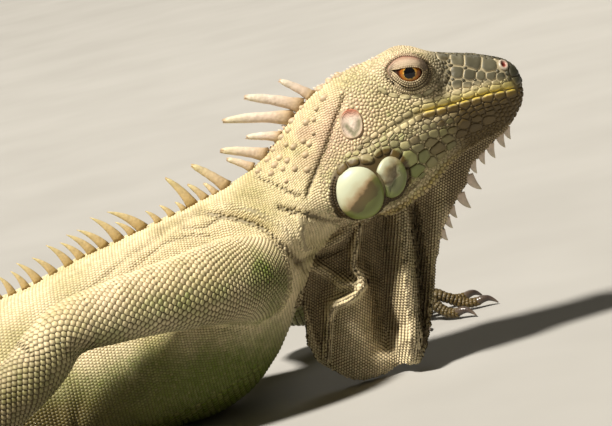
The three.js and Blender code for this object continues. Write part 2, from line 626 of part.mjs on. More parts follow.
const legParts = [];
for (const [key, leg] of Object.entries(LEGS)) {
  const sign = key.endsWith("left") ? -1 : 1;
  const upper = limbSolid(leg.upper, 5, 8);
  const lower = limbSolid(leg.lower, 4, 8);
  const joint = new THREE.Vector3(...leg.lower[0].at);
  const before = new THREE.Vector3(...leg.upper[leg.upper.length - 2].at);
  const after = new THREE.Vector3(...leg.lower[1].at);
  const bend = after.clone().sub(joint).normalize().add(joint.clone().sub(before).normalize());
  const ball = ellipsoid(leg.lower[0].at, [12.4, 12.4, 12], 8, 5);
  const [lowerSide, upperSide] = [halfSpace(joint.clone().addScaledVector(bend, GAP / 4), bend),
    halfSpace(joint.clone().addScaledVector(bend, -GAP / 4), bend.clone().negate())];
  const upperPart = upper.add(ball).intersect(upperSide).subtract(bodyGrown);
  const wrist = new THREE.Vector3(...leg.palm[0].at);
  const arm = wrist.clone().sub(new THREE.Vector3(...leg.lower[leg.lower.length - 2].at));
  const hand = wrist.clone().sub(new THREE.Vector3(...leg.palm[1].at)).negate();
  const wristWay = arm.normalize().add(hand.normalize());
  const [handSide, armSide] = [halfSpace(wrist.clone().addScaledVector(wristWay, GAP / 4), wristWay),
    halfSpace(wrist.clone().addScaledVector(wristWay, -GAP / 4), wristWay.clone().negate())];
  const lowerPart = lower.add(ball).intersect(lowerSide).intersect(armSide).subtract(underFloor);
  let palm = limbSolid(leg.palm, 4, 7).intersect(handSide);
  const digits = leg.hind ? FOOT_DIGITS : HAND_DIGITS;
  digits.forEach((digit, i) => {
    const [finger, claw] = digitAndClaw(leg, sign, digit);
    palm = palm.add(finger);
    legParts.push([`claw_${key}_${i + 1}`, claw, "claw"]);
  });
  palm = palm.subtract(underFloor);
  const biggest = (s) => s.decompose().sort((a, b) => b.volume() - a.volume())[0];
  legParts.push([leg.names[0], biggest(upperPart.subtract(underFloor)), "hide"]);
  legParts.push([leg.names[1], biggest(lowerPart), "hide"]);
  legParts.push([leg.names[2], biggest(palm), "hide"]);
}
const claws = legParts.filter(([, , kind]) => kind === "claw");

// ---- materials and nodes -------------------------------------------------------------------
const finish = (color, roughness) => new THREE.MeshStandardMaterial({
  color,
  roughness,
  metalness: 0,
});
const hide = finish(0xa9a674, 0.62);
const paleHide = finish(0x9aa04f, 0.6);
const fanHide = finish(0x8f8259, 0.65);
const horn = finish(0x4a4034, 0.4);
const eyeShine = finish(0x8a4a12, 0.08);
const drumSkin = finish(0xd8c3ae, 0.4);
const shieldShine = finish(0xb9bf94, 0.35);

const iguana = new THREE.Group();
iguana.name = "iguana";
function place(name, solid, material) {
  const mesh = new THREE.Mesh(toGeometry(solid.simplify(FACET)), material);
  mesh.name = name;
  iguana.add(mesh);
}

place("head", head, hide);
place("lower_jaw", jaw, hide);
place("neck", neck, hide);
place("trunk", trunk, hide);
tailPieces.forEach((piece, i) => place(`tail_${i + 1}`, piece, paleHide));
place("dewlap", dewlap, fanHide);
for (const [name, solid] of faceParts) {
  place(name, solid, name.startsWith("eye") ? eyeShine
    : name.startsWith("tympanum") ? drumSkin : shieldShine);
}
for (const [name, solid, kind] of legParts) {
  if (kind === "hide") place(name, solid, hide);
}
for (const [name, solid] of claws) place(name, solid, horn);

export default iguana;
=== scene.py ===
"""A life-size green iguana: one skin over the solids' flesh, scales laid on it one by one, eyes, lids,
ear drums, jowl shields, crest, throat spikes and claws, on a plain pale floor.

Tables and shape functions are in millimetres; meshes are written in metres."""

import math
from functools import partial

import bpy
import numpy as np
from bpy.props import FloatProperty, FloatVectorProperty, PointerProperty
from mathutils import Matrix, Vector
from mathutils.kdtree import KDTree


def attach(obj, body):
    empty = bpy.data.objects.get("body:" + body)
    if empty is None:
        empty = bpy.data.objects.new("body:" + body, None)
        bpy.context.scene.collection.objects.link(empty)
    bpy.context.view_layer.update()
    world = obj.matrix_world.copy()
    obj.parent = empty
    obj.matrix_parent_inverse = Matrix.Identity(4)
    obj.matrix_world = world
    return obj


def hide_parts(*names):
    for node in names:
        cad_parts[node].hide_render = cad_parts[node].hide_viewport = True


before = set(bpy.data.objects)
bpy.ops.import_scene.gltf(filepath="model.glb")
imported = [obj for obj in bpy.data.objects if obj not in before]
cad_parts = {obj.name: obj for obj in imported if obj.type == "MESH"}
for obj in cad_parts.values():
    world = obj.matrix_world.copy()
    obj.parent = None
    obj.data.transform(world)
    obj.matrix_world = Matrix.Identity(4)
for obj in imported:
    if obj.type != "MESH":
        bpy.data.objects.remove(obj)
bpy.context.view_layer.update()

bl_info = {
    "name": "Green Iguana",
    "version": (1, 0, 0),
    "blender": (4, 5, 0),
    "location": "3D View > Sidebar > Iguana",
    "description": "Builds the skin, scales and fittings of a life-size green iguana",
    "category": "Object",
}

MM = 0.001

# ---- the body's measures -----------------------------------------------------------------------
COAT = 0.75  # how far the skin lies inside the solids, which is the room for the scales
TAIL_START = -172.0
TAIL_LENGTH = 870.0
TAIL_END = TAIL_START - TAIL_LENGTH
TAIL_SWING = 34.0  # degrees to the left and back
TAIL_BANDS = 11

# q, top, bottom, half-width, its height share, roof share, jaw share
SECTIONS = [
    (253, 125.5, 121, 2.2, 0.5, 0.6, 0.6),
    (251.5, 131.5, 115.5, 6.6, 0.46, 0.62, 0.6),
    (247.5, 136.6, 110, 9.8, 0.44, 0.64, 0.6),
    (239, 140.8, 105.8, 12.4, 0.42, 0.66, 0.6),
    (228, 144.6, 102.4, 15, 0.41, 0.66, 0.6),
    (216, 147.6, 97.8, 18, 0.42, 0.68, 0.6),
    (203, 150.5, 91.4, 21.2, 0.42, 0.7, 0.6),
    (190, 150.8, 83.4, 24, 0.38, 0.66, 0.62),
    (178, 149.4, 78.4, 27, 0.34, 0.6, 0.66),
    (166, 146.8, 76.8, 28.6, 0.32, 0.54, 0.7),
    (154, 141.6, 76.5, 27.4, 0.34, 0.48, 0.68),
    (142, 133.2, 68, 25.4, 0.42, 0.42, 0.64),
    (130, 121.5, 52, 27.6, 0.46, 0.4, 0.64),
    (120, 115, 36, 31.5, 0.46, 0.42, 0.66),
    (108, 109.2, 20, 37, 0.44, 0.46, 0.68),
    (92, 104.4, 7, 43, 0.42, 0.48, 0.7),
    (70, 99, 0.2, 47.5, 0.4, 0.5, 0.74),
    (40, 92.6, -1.6, 51.5, 0.38, 0.52, 0.78),
    (0, 82, -2, 55.5, 0.37, 0.54, 0.8),
    (-50, 72.6, -2, 55.5, 0.37, 0.54, 0.8),
    (-95, 64.4, -1.6, 47.5, 0.38, 0.54, 0.78),
    (-130, 56.6, -1.2, 37, 0.4, 0.54, 0.76),
    (-150, 51.4, -1, 30, 0.42, 0.54, 0.74),
    (TAIL_START, 46, -1, 24.2, 0.44, 0.54, 0.72),
    (TAIL_START - 80, 36.4, -0.8, 18.2, 0.44, 0.56, 0.7),
    (TAIL_START - 220, 28, -0.7, 13.4, 0.45, 0.56, 0.7),
    (TAIL_START - 400, 19.6, -0.5, 9.2, 0.46, 0.58, 0.7),
    (TAIL_START - 610, 12, -0.4, 5.8, 0.48, 0.6, 0.7),
    (TAIL_START - 790, 6.4, -0.3, 3.1, 0.5, 0.6, 0.7),
    (TAIL_END, 2.6, -0.2, 1.3, 0.5, 0.6, 0.7),
]

# centre (q, side, z), reach along each, height: swellings on each side of the body
SWELLINGS = [
    ((200, 13.5, 151), (13, 8, 8), 6.0),
    ((167, 28, 96), (17, 12, 17), 3.2),
    ((180, 20, 140), (12, 8, 10), 1.4),
    ((215, 17, 138), (7, 6, 6), -1.8),
    ((243, 9, 134), (7, 5, 6), 1.2),
]

# place along the back, length, lean from upright to the skin in degrees
FRONT_SPINES = [
    (153.4, 15.6, 21), (147.8, 26.4, 33), (142, 31.6, 39), (134.4, 14.6, 32), (126, 20.4, 38),
    (118.2, 11.6, 30), (104, 18.3, 27), (98, 5.8, 20), (92.6, 9.2, 22), (86, 17.1, 17),
    (81.4, 4, 20), (75.3, 6.4, 24), (68.3, 7, 24), (60.6, 18.4, 40), (54.7, 8.9, 30),
    (48, 16.7, 27), (40.6, 14.7, 32), (34.2, 14.4, 27), (28.4, 12, 24), (22, 13.9, 20),
    (13.8, 12.1, 25), (5.6, 13, 22), (-1, 10, 16), (-8, 10.4, 14),
]
BACK_SPINE_STEP = 7.0
BACK_SPINE_LENGTH = 12.4
CREST_END = TAIL_START - 430
SPINE_BEND = 34.0

# The mouth's line and the lower jaw's rim in side view, from the snout back.
MOUTH = [(252.5, 122.6), (249, 123.2), (236, 124.2), (228, 124), (213, 123.7), (200.5, 123.8),
         (190, 121), (184, 119), (174, 115), (162, 109)]
JAW_RIM = [(244.3, 109), (235.3, 104.6), (227.4, 103), (217.8, 99.7), (211, 95.6), (199.7, 87),
           (188.1, 80.8), (172.1, 76.5)]

# Side-view ovals: x, z, half-length, half-height. The fore shield is turned, by its last value in degrees.
TYMPANUM_RING = (168.5, 125.5, 5.1, 6.8)
SHIELD_RING = (165.0, 93.8, 11.2, 12.9)
FORE_SHIELD = (180.9, 97.6, 7.2, 9.8, -10)
# How far out the skin bulges under the two shields, as an oval and a distance from the middle plane.
SHIELD_BULGES = [(*SHIELD_RING, 27.4), (180.5, 97.5, 7.4, 9.8, 25.6)]
# The oval where the big shield's rows of beads make room for the fore shield.
BEAD_BREAK = (181, 97.6, 7.6, 10.2)
# Lines and places in side view: the nostril, the V on the ear drum, the beads under the jaw's rim.
NOSTRIL = (245.4, 135.2)
DRUM_VEE = [(165.8, 125.5), (167.4, 122.9), (168.5, 120.7), (171.0, 123.3), (172.2, 126.2)]
RIM_BEADS = [(187.5, 90.6), (191.4, 91.4), (195.5, 92.6), (198.3, 94.4), (202.9, 96.4), (207.2, 98.8),
             (210.5, 100.9), (215.7, 103.2), (219.8, 104.6), (225.5, 105.4), (229.5, 106.2), (235.6, 107.7),
             (240.7, 109.6)]

# The throat fan in side view, from chin to chest: where it leaves the throat, and its free edge.
DEWLAP_UPPER = [
    (246, 109), (240, 108), (232, 107), (226, 106), (220, 104), (213, 101), (206, 99), (199, 96),
    (190, 92), (182, 90), (177, 89), (171, 88), (166, 86), (160, 85), (154, 84), (148, 82),
    (143, 78), (139, 73), (137, 69), (135.5, 66), (134.5, 64), (134, 62.5),
]
DEWLAP_LOWER = [
    (241, 103), (234.4, 99.8), (226.4, 94.4), (220.2, 90), (217, 82.4), (209, 74.4), (200.4, 64.4),
    (193.6, 49.3), (188.4, 32.4), (184, 19), (180, 7.5), (174.8, 3.6), (168.2, 4.6), (162, 2.6),
    (157, 1), (151, 0.8), (142, 2.6), (134, 8.6), (127.6, 14.2), (124.5, 24), (126, 37),
    (131, 58),
]
DEWLAP_THICKNESS = 2.6

# root x and z, length, lean ahead of straight down in degrees
THROAT_SPIKES = [
    (240.4, 103.5, 5, 8), (236.6, 101, 6, 14), (231, 97.6, 6.4, 10), (226, 94.4, 5, 4),
    (221, 91, 5, 10), (218.2, 84.6, 8, 52), (212.2, 77, 7.6, 40), (206.4, 72, 5, 24),
    (203, 67.6, 4.6, 30), (199.4, 62.5, 4.4, 30),
]

# The fan's folds: a line in side view, how far it carries the sheet to the left, and its width.
FAN_FOLDS = [
    ([(126, 71), (134, 72), (142, 70), (151, 71.5), (160, 77), (168, 82)], -5.0, 2.6),
    ([(130, 66), (142, 64), (152, 66)], 3.0, 2.6),
    ([(124, 69), (131, 64), (138.7, 58.4), (146.8, 50.6), (154.5, 47.8), (158, 47)], -5.5, 2.4),
    ([(162, 76), (157.6, 65.5), (155.4, 61), (154.6, 57), (155.4, 54), (156.8, 51.5), (157, 48.6),
      (155, 45.6), (151.6, 43.4), (146, 42.2), (141, 40.6), (138, 36.5), (136.3, 31), (134.6, 25),
      (131.5, 15)], -7.0, 1.9),
    ([(164, 70), (162, 60), (163, 52), (163, 45)], 4.0, 3.0),
    ([(149, 46), (148, 34), (147, 24), (148, 10)], -9.0, 8.0),
    ([(176, 20), (166, 12), (156, 6), (146, 5), (136, 10)], -6.0, 5.0),
    ([(176, 90), (172, 72), (169.6, 57.7), (166.6, 42), (164.2, 28), (163, 12)], 10.0, 5.4),
    ([(183, 80), (180.5, 64), (178.6, 50), (177, 38), (175, 24), (172.4, 4)], -14.0, 4.6),
    ([(189, 82), (187.6, 66), (186, 50), (184, 36), (181, 20), (179, 8)], 10.0, 2.5),
    ([(203, 76), (198.6, 62), (194, 48), (189, 32), (185, 18)], -6.0, 3.4),
    ([(142, 55), (138, 49), (133, 42)], 3.0, 4.0),
    ([(127, 52), (126.4, 40), (127, 28), (129, 16)], -4.0, 2.4),
]

# Folds and grooves of the skin on both sides: a line in side view, height, width.
SKIN_FOLDS = [
    ([(68, 96), (76, 98), (88, 100.4), (99.5, 96.7), (115, 89), (124.3, 77), (130, 66), (132, 60)],
     -3.2, 1.9),
    ([(78, 103), (90, 105), (104, 101), (118, 93)], 1.4, 4.0),
    ([(78.8, 95.5), (89, 93.6), (98, 95.6)], -1.2, 1.4),
    ([(114, 112), (119, 110), (126.4, 105.4), (133, 100.3), (137, 98)], -1.7, 1.0),
    ([(168, 139), (164, 133), (158, 124), (153.8, 117.4), (147, 108), (142, 101), (140, 97)], -2.0, 1.35),
    ([(126, 95), (130, 93), (139, 88.4), (147, 82.6), (156, 79), (164, 77), (172, 78)], -2.8, 1.7),
    ([(136.5, 91), (133.6, 82), (132.6, 73)], 2.2, 1.9),
    ([(133, 73), (142, 70.6), (151, 72), (158, 76)], 3.0, 2.2),
    ([(137, 79), (146, 77)], 1.6, 3.6),
    ([(128, 66), (139, 66.4), (150, 66.6)], -2.4, 2.2),
    ([(112, 96), (124, 88), (130, 80)], 1.2, 2.4),
    ([(52, 82), (60, 86), (72, 91), (84, 91), (92, 89)], -0.9, 1.2),
    ([(24, 76), (30, 78), (52, 88), (66, 93), (72, 95)], -0.8, 1.3),
    ([(146, 132), (140, 120), (136, 108)], 0.8, 2.4),
]

# Places of the fan whose beads are painted pale, as painted light where the sun falls on its pleat and front
# strip: a line and how wide.
FAN_LIT = [([(181, 62), (179.9, 55.3), (176.2, 35.4), (173.1, 9)], 6.5),
           ([(204, 84), (198.4, 67.4), (191, 43), (185.6, 18)], 3.2)]

# Creases of the head round the eye and under the jaw's rim.
HEAD_FOLDS = [
    ([(221, 150), (219.8, 145), (220.2, 138.6), (216.6, 133.7), (211.1, 131.8), (204.8, 131.4),
      (198.7, 132.2), (194, 133.9), (189.8, 134.9), (184, 137)], -1.0, 0.95),
    ([(203, 158), (205.5, 156.6), (212.1, 152.6), (216.9, 148.9), (218.9, 144), (216.4, 138.2), (212, 135)],
     -0.8, 0.8),
    ([(213, 153), (217, 150), (219.6, 145), (218.6, 139), (214.5, 134.6)], 0.7, 1.0),
    ([(183, 88), (189, 89), (195.5, 90.2), (202.9, 93.8), (210.5, 98.2), (219.8, 101.8), (229.5, 103.8),
      (240.7, 107)], -1.0, 1.3),
    ([(184, 149), (189.6, 153.9), (197.8, 157), (205, 156.4)], -0.5, 0.8),
]


def st(x, y, z, wide, high=None):
    """One station of a limb: place, half-width, half-height."""
    return (x, y, z, wide, wide if high is None else high)


LEGS = {
    "foreleg_right": dict(
        path=[st(112, -28, 64, 19, 20), st(98, -44, 69, 19, 20.5), st(74, -60, 71.5, 16.5, 17.5),
              st(46, -71, 72, 15, 15), st(18, -78, 69, 13.6, 13), st(4, -82, 58, 13.6, 14.4),
              st(-14, -86.5, 45, 11.4, 12.6), st(-31, -91, 31, 8.8, 8.6), st(-37, -95, 20, 10, 7),
              st(-45, -101, 7, 12, 6.2), st(-50, -106, 4, 11, 4.6)],
        root=(-46, -101), heading=-140, spread=10, arch=0, hind=False, sign=1),
    "foreleg_left": dict(
        path=[st(110, 22, 62, 17, 18), st(108, 44, 57, 17, 18), st(106, 66, 49, 14.6, 15.4),
              st(104, 86, 40, 13, 13), st(116, 96, 32, 12.6, 13.4), st(133, 107, 22, 10.6, 11),
              st(149, 115, 13, 8.4, 8), st(156, 117, 10, 9.6, 6.8), st(166, 119, 6.6, 12, 5.8),
              st(174, 119, 4.2, 11, 4.4)],
        root=(168, 119), heading=-2, spread=10, arch=4, hind=False, sign=-1),
    "hindleg_right": dict(
        path=[st(-142, -14, 34, 18, 19), st(-136, -36, 35, 19, 20), st(-124, -60, 34, 17.4, 19),
              st(-112, -80, 31, 14, 15.6), st(-109, -88, 28, 12.6, 13.6), st(-120, -98, 25, 12.4, 13.6),
              st(-144, -109, 18, 10, 11), st(-168, -117, 11, 7.6, 7.8), st(-166, -124, 8, 8.6, 6.6),
              st(-157, -133, 5.6, 10.4, 5.4), st(-149, -140, 4.2, 11, 4.4)],
        root=(-154, -136), heading=-42, spread=12, arch=0, hind=True, sign=1),
    "hindleg_left": dict(
        path=[st(-140, 14, 34, 18, 19), st(-128, 36, 35, 19, 20), st(-110, 60, 34, 17.4, 19),
              st(-94, 79, 31, 14, 15.6), st(-90, 87, 28, 12.6, 13.6), st(-99, 97, 25, 12.4, 13.6),
              st(-122, 110, 18, 10, 11), st(-146, 118, 11, 7.6, 7.8), st(-143, 124, 8, 8.6, 6.6),
              st(-132, 132, 5.6, 10.4, 5.4), st(-122, 137, 4.2, 11, 4.4)],
        root=(-128, 134), heading=26, spread=12, arch=0, hind=True, sign=-1),
}
HAND_DIGITS = [(62, 23, 3.6), (30, 32, 3.7), (4, 38, 3.7), (-24, 36, 3.6), (-58, 27, 3.4)]
FOOT_DIGITS = [(50, 24, 3.8), (24, 38, 3.9), (6, 52, 4), (-12, 66, 4), (-52, 40, 3.7)]
CLAW_LENGTH = 9.0
DIGIT_STEPS = 60  # places along a digit's or a claw's middle line
DIGIT_COAT = 0.5
FLESH = ["head", "lower_jaw", "neck", "trunk", "tail_1", "tail_2", "tail_3", "tail_4", "dewlap",
         "upper_arm_right", "forearm_right", "hand_right", "upper_arm_left", "forearm_left",
         "hand_left", "thigh_right", "shank_right", "foot_right", "thigh_left", "shank_left",
         "foot_left"]


# ---- sizes and colours a user would change -------------------------------------------------------
def colour(name, description, default):
    return FloatVectorProperty(name=name, description=description, default=default,
                               subtype="COLOR", size=3, min=0, max=1)


def length(name, description, default):
    return FloatProperty(name=name, description=description, default=default, unit="LENGTH",
                         min=0.0002, max=0.05, precision=4)


class IguanaSizes(bpy.types.PropertyGroup):
    voxel: length("Skin detail", "Edge of the cells that the skin is knitted from", 0.00184)
    back_row: length("Back row", "Spacing of the rows of scales at the hips", 0.0021)
    back_scale: length("Back scale", "Width of one scale at the hips", 0.00185)
    limb_row: length("Limb row", "Spacing of the rows of scales along a limb", 0.00195)
    limb_scale: length("Limb scale", "Width of one scale of a limb", 0.0033)
    fan_bead: length("Fan bead", "Spacing of the beads of the throat fan", 0.0014)


class IguanaColours(bpy.types.PropertyGroup):
    cream: colour("Cream", "Sunlit ground colour of the back", (0.68, 0.575, 0.365))
    olive: colour("Olive", "Mottling of the back", (0.40, 0.35, 0.15))
    green: colour("Green", "Belly, flank and the underside of the arms", (0.115, 0.19, 0.012))
    dun: colour("Dun", "Throat fan", (0.53, 0.43, 0.26))
    # Slate also paints shade on the far hand.
    slate: colour("Slate", "Top of the snout, hands and feet", (0.052, 0.050, 0.030))
    gold: colour("Gold", "Lips and edges of the throat", (0.62, 0.46, 0.05))
    # Band also carries painted shade: in the folds, under the arm, low on the flank, under the jaw and in the
    # fan's hollows.
    band: colour("Band", "Bands of the tail and brown spots", (0.082, 0.053, 0.012))
    blush: colour("Blush", "Eyelids, ear drum rim and pale skin", (0.66, 0.45, 0.32))
    gap: colour("Gap", "Skin between the scales", (0.052, 0.032, 0.010))


# ---- curves and surfaces ---------------------------------------------------------------------------
def smooth_rows(rows, at):
    """A table's values at `at`: cubic Hermite pieces, each row's slope that of its neighbours' chord."""
    table = np.asarray(sorted(rows), float)
    x, y = table[:, 0], table[:, 1:]
    slope = np.gradient(y, x, axis=0)
    slope[1:-1] = (y[2:] - y[:-2]) / (x[2:] - x[:-2])[:, None]
    at = np.clip(np.asarray(at, float), x[0], x[-1])
    i = np.clip(np.searchsorted(x, at, side="right") - 1, 0, len(x) - 2)
    span = (x[i + 1] - x[i])[..., None]
    s = (at - x[i])[..., None] / span
    return ((1 + 2 * s) * (1 - s) ** 2 * y[i] + s * s * (3 - 2 * s) * y[i + 1]
            + span * (s * (1 - s) ** 2 * slope[i] + s * s * (s - 1) * slope[i + 1]))


def tail_plan(step=5.0):
    """The tail's middle line in plan, by equal steps: distance from the hips, heading, x and y."""
    share = np.arange(1, int(TAIL_LENGTH / step) + 2) * step / TAIL_LENGTH
    heading = math.radians(TAIL_SWING) * np.sin(1.3 * np.pi * share) * np.minimum(1, share / 0.15) ** 2
    back, across = np.cumsum(step * np.cos(heading)), np.cumsum(step * np.sin(heading))
    rows = (share * TAIL_LENGTH, heading, back, across)
    distance, heading, back, across = (np.concatenate([[0], row]) for row in rows)
    return distance, heading, TAIL_START - back, across


PLAN_D, PLAN_H, PLAN_X, PLAN_Y = tail_plan()


def on_body(q, side, z):
    """The place q along the body, side to its left and z up: behind the hips q runs on along the
    tail's plan, whose heading swings to the left and back."""
    back = np.maximum(TAIL_START - q, 0)
    heading = np.interp(back, PLAN_D, PLAN_H)
    x = np.where(q >= TAIL_START, q, np.interp(back, PLAN_D, PLAN_X))
    y = np.where(q >= TAIL_START, 0, np.interp(back, PLAN_D, PLAN_Y))
    return np.stack([x + side * np.sin(heading), y + side * np.cos(heading), z + 0 * q], -1)


def catmull(a, b, c, d, t):
    """The place at t between b and c on the Catmull-Rom curve through a, b, c and d."""
    return 0.5 * (2 * b + (c - a) * t + (2 * a - 5 * b + 4 * c - d) * t**2
                  + (3 * b - a - 3 * c + d) * t**3)


ROOF_DROP, JAW_RISE = 0.1, 0.12  # heights of a section's roof and jaw points, from its top and bottom


def body_surface(q, turn, grow=-COAT):
    """The body's surface: a closed Catmull-Rom ring through top, roof, flank, jaw and keel of the
    section at q, pushed out by each swelling's Gaussian. turn runs from the top down the left."""
    q, turn = np.broadcast_arrays(np.asarray(q, float), np.asarray(turn, float))
    top, bottom, half, at, roof, jaw = np.moveaxis(smooth_rows(SECTIONS, q), -1, 0)
    tall = top - bottom
    side = [0 * half, roof * half, half, jaw * half, 0 * half]
    up = [top, top - ROOF_DROP * tall, bottom + at * tall, bottom + JAW_RISE * tall, bottom]
    ring_y = np.stack(side + [-side[3], -side[2], -side[1]])
    ring_z = np.stack(up + [up[3], up[2], up[1]])
    place = (turn % 1) * 8
    i = np.floor(place).astype(int)
    t = place - i

    def ring(values):
        return catmull(*[np.take_along_axis(values, ((i + k) % 8)[None], 0)[0]
                         for k in (-1, 0, 1, 2)], t)

    y, z = ring(ring_y), ring(ring_z)
    middle = bottom + at * tall
    out = np.maximum(np.hypot(y, z - middle), 1e-6)
    swell = np.full_like(y, grow)
    for centre, reach, rise in SWELLINGS:
        share = (((q - centre[0]) / reach[0]) ** 2 + ((np.abs(y) - centre[1]) / reach[1]) ** 2
                 + ((z - centre[2]) / reach[2]) ** 2)
        swell = swell + rise * np.exp(-share)
    level = np.maximum(z + swell * (z - middle) / out, COAT)
    return on_body(q, y + swell * y / out, level)


def run_along(points):
    """The length of a line of points up to each of them."""
    return np.concatenate([[0], np.cumsum(np.linalg.norm(np.diff(points, axis=0), axis=1))])


def columns_at(at, run, rows):
    """Each column of the rows at lengths `at` of their run."""
    return np.stack([np.interp(at, run, column) for column in rows.T], -1)


def unit(v):
    """Vectors brought to length 1."""
    return v / np.maximum(np.linalg.norm(v, axis=-1, keepdims=True), 1e-9)


def laid(way, normals):
    """Directions laid into the surface that has these normals."""
    return unit(way - normals * np.sum(way * normals, axis=1, keepdims=True))


def circle(count):
    """Directions evenly round a circle."""
    angle = 2 * np.pi * np.arange(count) / count
    return np.stack([np.cos(angle), np.sin(angle)], -1)


def limb_frames(path, count=240):
    """A limb's middle line and frame: a centripetal Catmull-Rom curve through its stations, with the
    side level and the half sizes eased between stations. Rows: place, side, up, wide, high, length."""
    p = np.array([s[:3] for s in path], float)
    sizes = [(i, s[3], s[4]) for i, s in enumerate(path)]
    ends = np.vstack([2 * p[0] - p[1], p, 2 * p[-1] - p[-2]])
    gap = np.sqrt(np.linalg.norm(np.diff(ends, axis=0), axis=1))
    u = np.linspace(0, len(p) - 1, count)
    i = np.minimum(u.astype(int), len(p) - 2)
    t = (u - i)[:, None]
    a, b, c, d = ends[i], ends[i + 1], ends[i + 2], ends[i + 3]
    ga, gb, gc = gap[i][:, None], gap[i + 1][:, None], gap[i + 2][:, None]
    m1 = ((b - a) / ga - (c - a) / (ga + gb) + (c - b) / gb) * gb
    m2 = ((c - b) / gb - (d - b) / (gb + gc) + (d - c) / gc) * gb
    place = ((2 * t**3 - 3 * t**2 + 1) * b + (t**3 - 2 * t**2 + t) * m1
             + (3 * t**2 - 2 * t**3) * c + (t**3 - t**2) * m2)
    ahead = np.gradient(place, axis=0)
    ahead /= np.linalg.norm(ahead, axis=1, keepdims=True)
    side = np.cross([0, 0, 1.0], ahead)
    side /= np.linalg.norm(side, axis=1, keepdims=True)
    up = np.cross(ahead, side)
    wide, high = smooth_rows(sizes, u).T
    return dict(place=place, side=side, up=up, wide=wide, high=high, run=run_along(place))


LEAST_LIMB = 0.3  # least half-width and half-height of a limb


def limb_surface(frames, along, turn, grow=-COAT):
    """A limb's surface: an ellipse of the eased half sizes about the middle line at length `along`."""
    along, turn = np.broadcast_arrays(np.asarray(along, float), np.asarray(turn, float))

    def at(key):
        return columns_at(along, frames["run"], frames[key].reshape(len(frames["run"]), -1))

    angle = 2 * np.pi * turn[..., None]
    point = (at("place") + at("side") * np.maximum(at("wide") + grow, LEAST_LIMB) * np.cos(angle)
             + at("up") * np.maximum(at("high") + grow, LEAST_LIMB) * np.sin(angle))
    point[..., 2] = np.maximum(point[..., 2], COAT * 0.8)
    return point


def digit_paths(leg):
    """Stations of a foot's five digits and claws, fanned about its heading."""
    digits, claws = [], []
    for turn, reach, radius in (FOOT_DIGITS if leg["hind"] else HAND_DIGITS):
        angle = math.radians(leg["heading"] + leg["sign"] * turn)
        way = np.array([math.cos(angle), math.sin(angle)])
        spread, arch = leg["spread"], leg["arch"]
        tip = spread + reach

        def out(d, z, r):
            return st(leg["root"][0] + way[0] * d, leg["root"][1] + way[1] * d, z, r)

        digits.append([out(0, 5, radius), out(spread * 0.6 + 4, 6.2 + 0.6 * arch, radius),
                       out(spread + reach * 0.42, 7.2 + arch, radius * 0.96),
                       out(spread + reach * 0.78, 4.2, radius * 0.86), out(tip, 3.2, radius * 0.76)])
        claws.append([out(tip - 1.5, 3.6, radius * 0.6), out(tip + 1.5, 4.4, radius * 0.54),
                      out(tip + CLAW_LENGTH * 0.5, 4.2, radius * 0.4),
                      out(tip + CLAW_LENGTH * 0.8, 2.6, radius * 0.22),
                      out(tip + CLAW_LENGTH, 0.9, 0.25)])
    return digits, claws


def line_distance(x, z, line):
    """Distance in side view from points to a line of straight stretches."""
    best = np.full(x.shape, 1e9)
    for (x0, z0), (x1, z1) in zip(line[:-1], line[1:]):
        dx, dz = x1 - x0, z1 - z0
        t = np.clip(((x - x0) * dx + (z - z0) * dz) / (dx * dx + dz * dz), 0, 1)
        best = np.minimum(best, np.hypot(x - x0 - t * dx, z - z0 - t * dz))
    return best


def smooth_line(line, step):
    """Points on a Catmull-Rom curve through the line's points, and their spacing of about `step`."""
    p = np.array(line, float)
    p = np.concatenate([2 * p[:1] - p[1:2], p, 2 * p[-1:] - p[-2:-1]])
    t = np.linspace(0, 1, 9)[:-1, None, None]
    curve = catmull(p[:-3], p[1:-2], p[2:-1], p[3:], t).transpose(1, 0, 2).reshape(-1, 2)
    curve = np.concatenate([curve, p[-2:-1]])
    run = run_along(curve)
    at = np.linspace(0, run[-1], max(2, int(run[-1] / step) + 1))
    return columns_at(at, run, curve), at[1]


def folded(x, z, folds):
    """Sum of rounded folds: each one's height times Gaussian dabs spread evenly along its line, which
    add up to that height on the line and fade past its ends."""
    total = np.zeros(np.shape(x))
    for line, rise, wide in folds:
        dabs, gap = smooth_line(line, 0.7 * wide)
        level = rise * gap / (wide * math.sqrt(math.pi))
        for u, v in dabs:
            total += level * np.exp(-((x - u) ** 2 + (z - v) ** 2) / wide**2)
    return total


def ease(x, low, high):
    """0 below low, 1 above high, and a smooth step between."""
    t = np.clip((x - low) / (high - low), 0, 1)
    return t * t * (3 - 2 * t)


def bell(away, wide):
    """1 where `away` is 0, falling off as a Gaussian of this width."""
    return np.exp(-((away / wide) ** 2))


def mouth_height(x):
    """Height of the mouth's line at places x."""
    line = np.array(MOUTH, float)[::-1]
    return np.interp(x, line[:, 0], line[:, 1])


def fan_point(u, v, side):
    """A point of the fan's sheet: u runs from chin to chest along its upper and lower lines, v from
    the upper to the lower, side is -1 on the right face and +1 on the left."""
    k = np.asarray(u, float) * (len(DEWLAP_UPPER) - 1)
    index = np.arange(len(DEWLAP_UPPER))
    upper, lower = np.array(DEWLAP_UPPER, float), np.array(DEWLAP_LOWER, float)
    a = np.stack([np.interp(k, index, upper[:, c]) for c in (0, 1)])
    b = np.stack([np.interp(k, index, lower[:, c]) for c in (0, 1)])
    x, z = a + (b - a) * np.asarray(v, float)
    return fan_sheet(x, z, side)


def fan_carried(x, z):
    """How far the folds carry the fan's sheet to the left; they fade out where it joins the throat."""
    carried = np.zeros(np.shape(x))
    near = (z < 93) & (x > 112)
    carried[near] = (1 - ease(z[near], 66, 92)) * folded(x[near], z[near], FAN_FOLDS)
    return carried


def fan_slopes(x, z, step=0.2):
    """How far the fan is carried to the left, and how that grows with x and with z."""
    middle = fan_carried(x, z)
    return middle, (fan_carried(x + step, z) - middle) / step, (fan_carried(x, z + step) - middle) / step


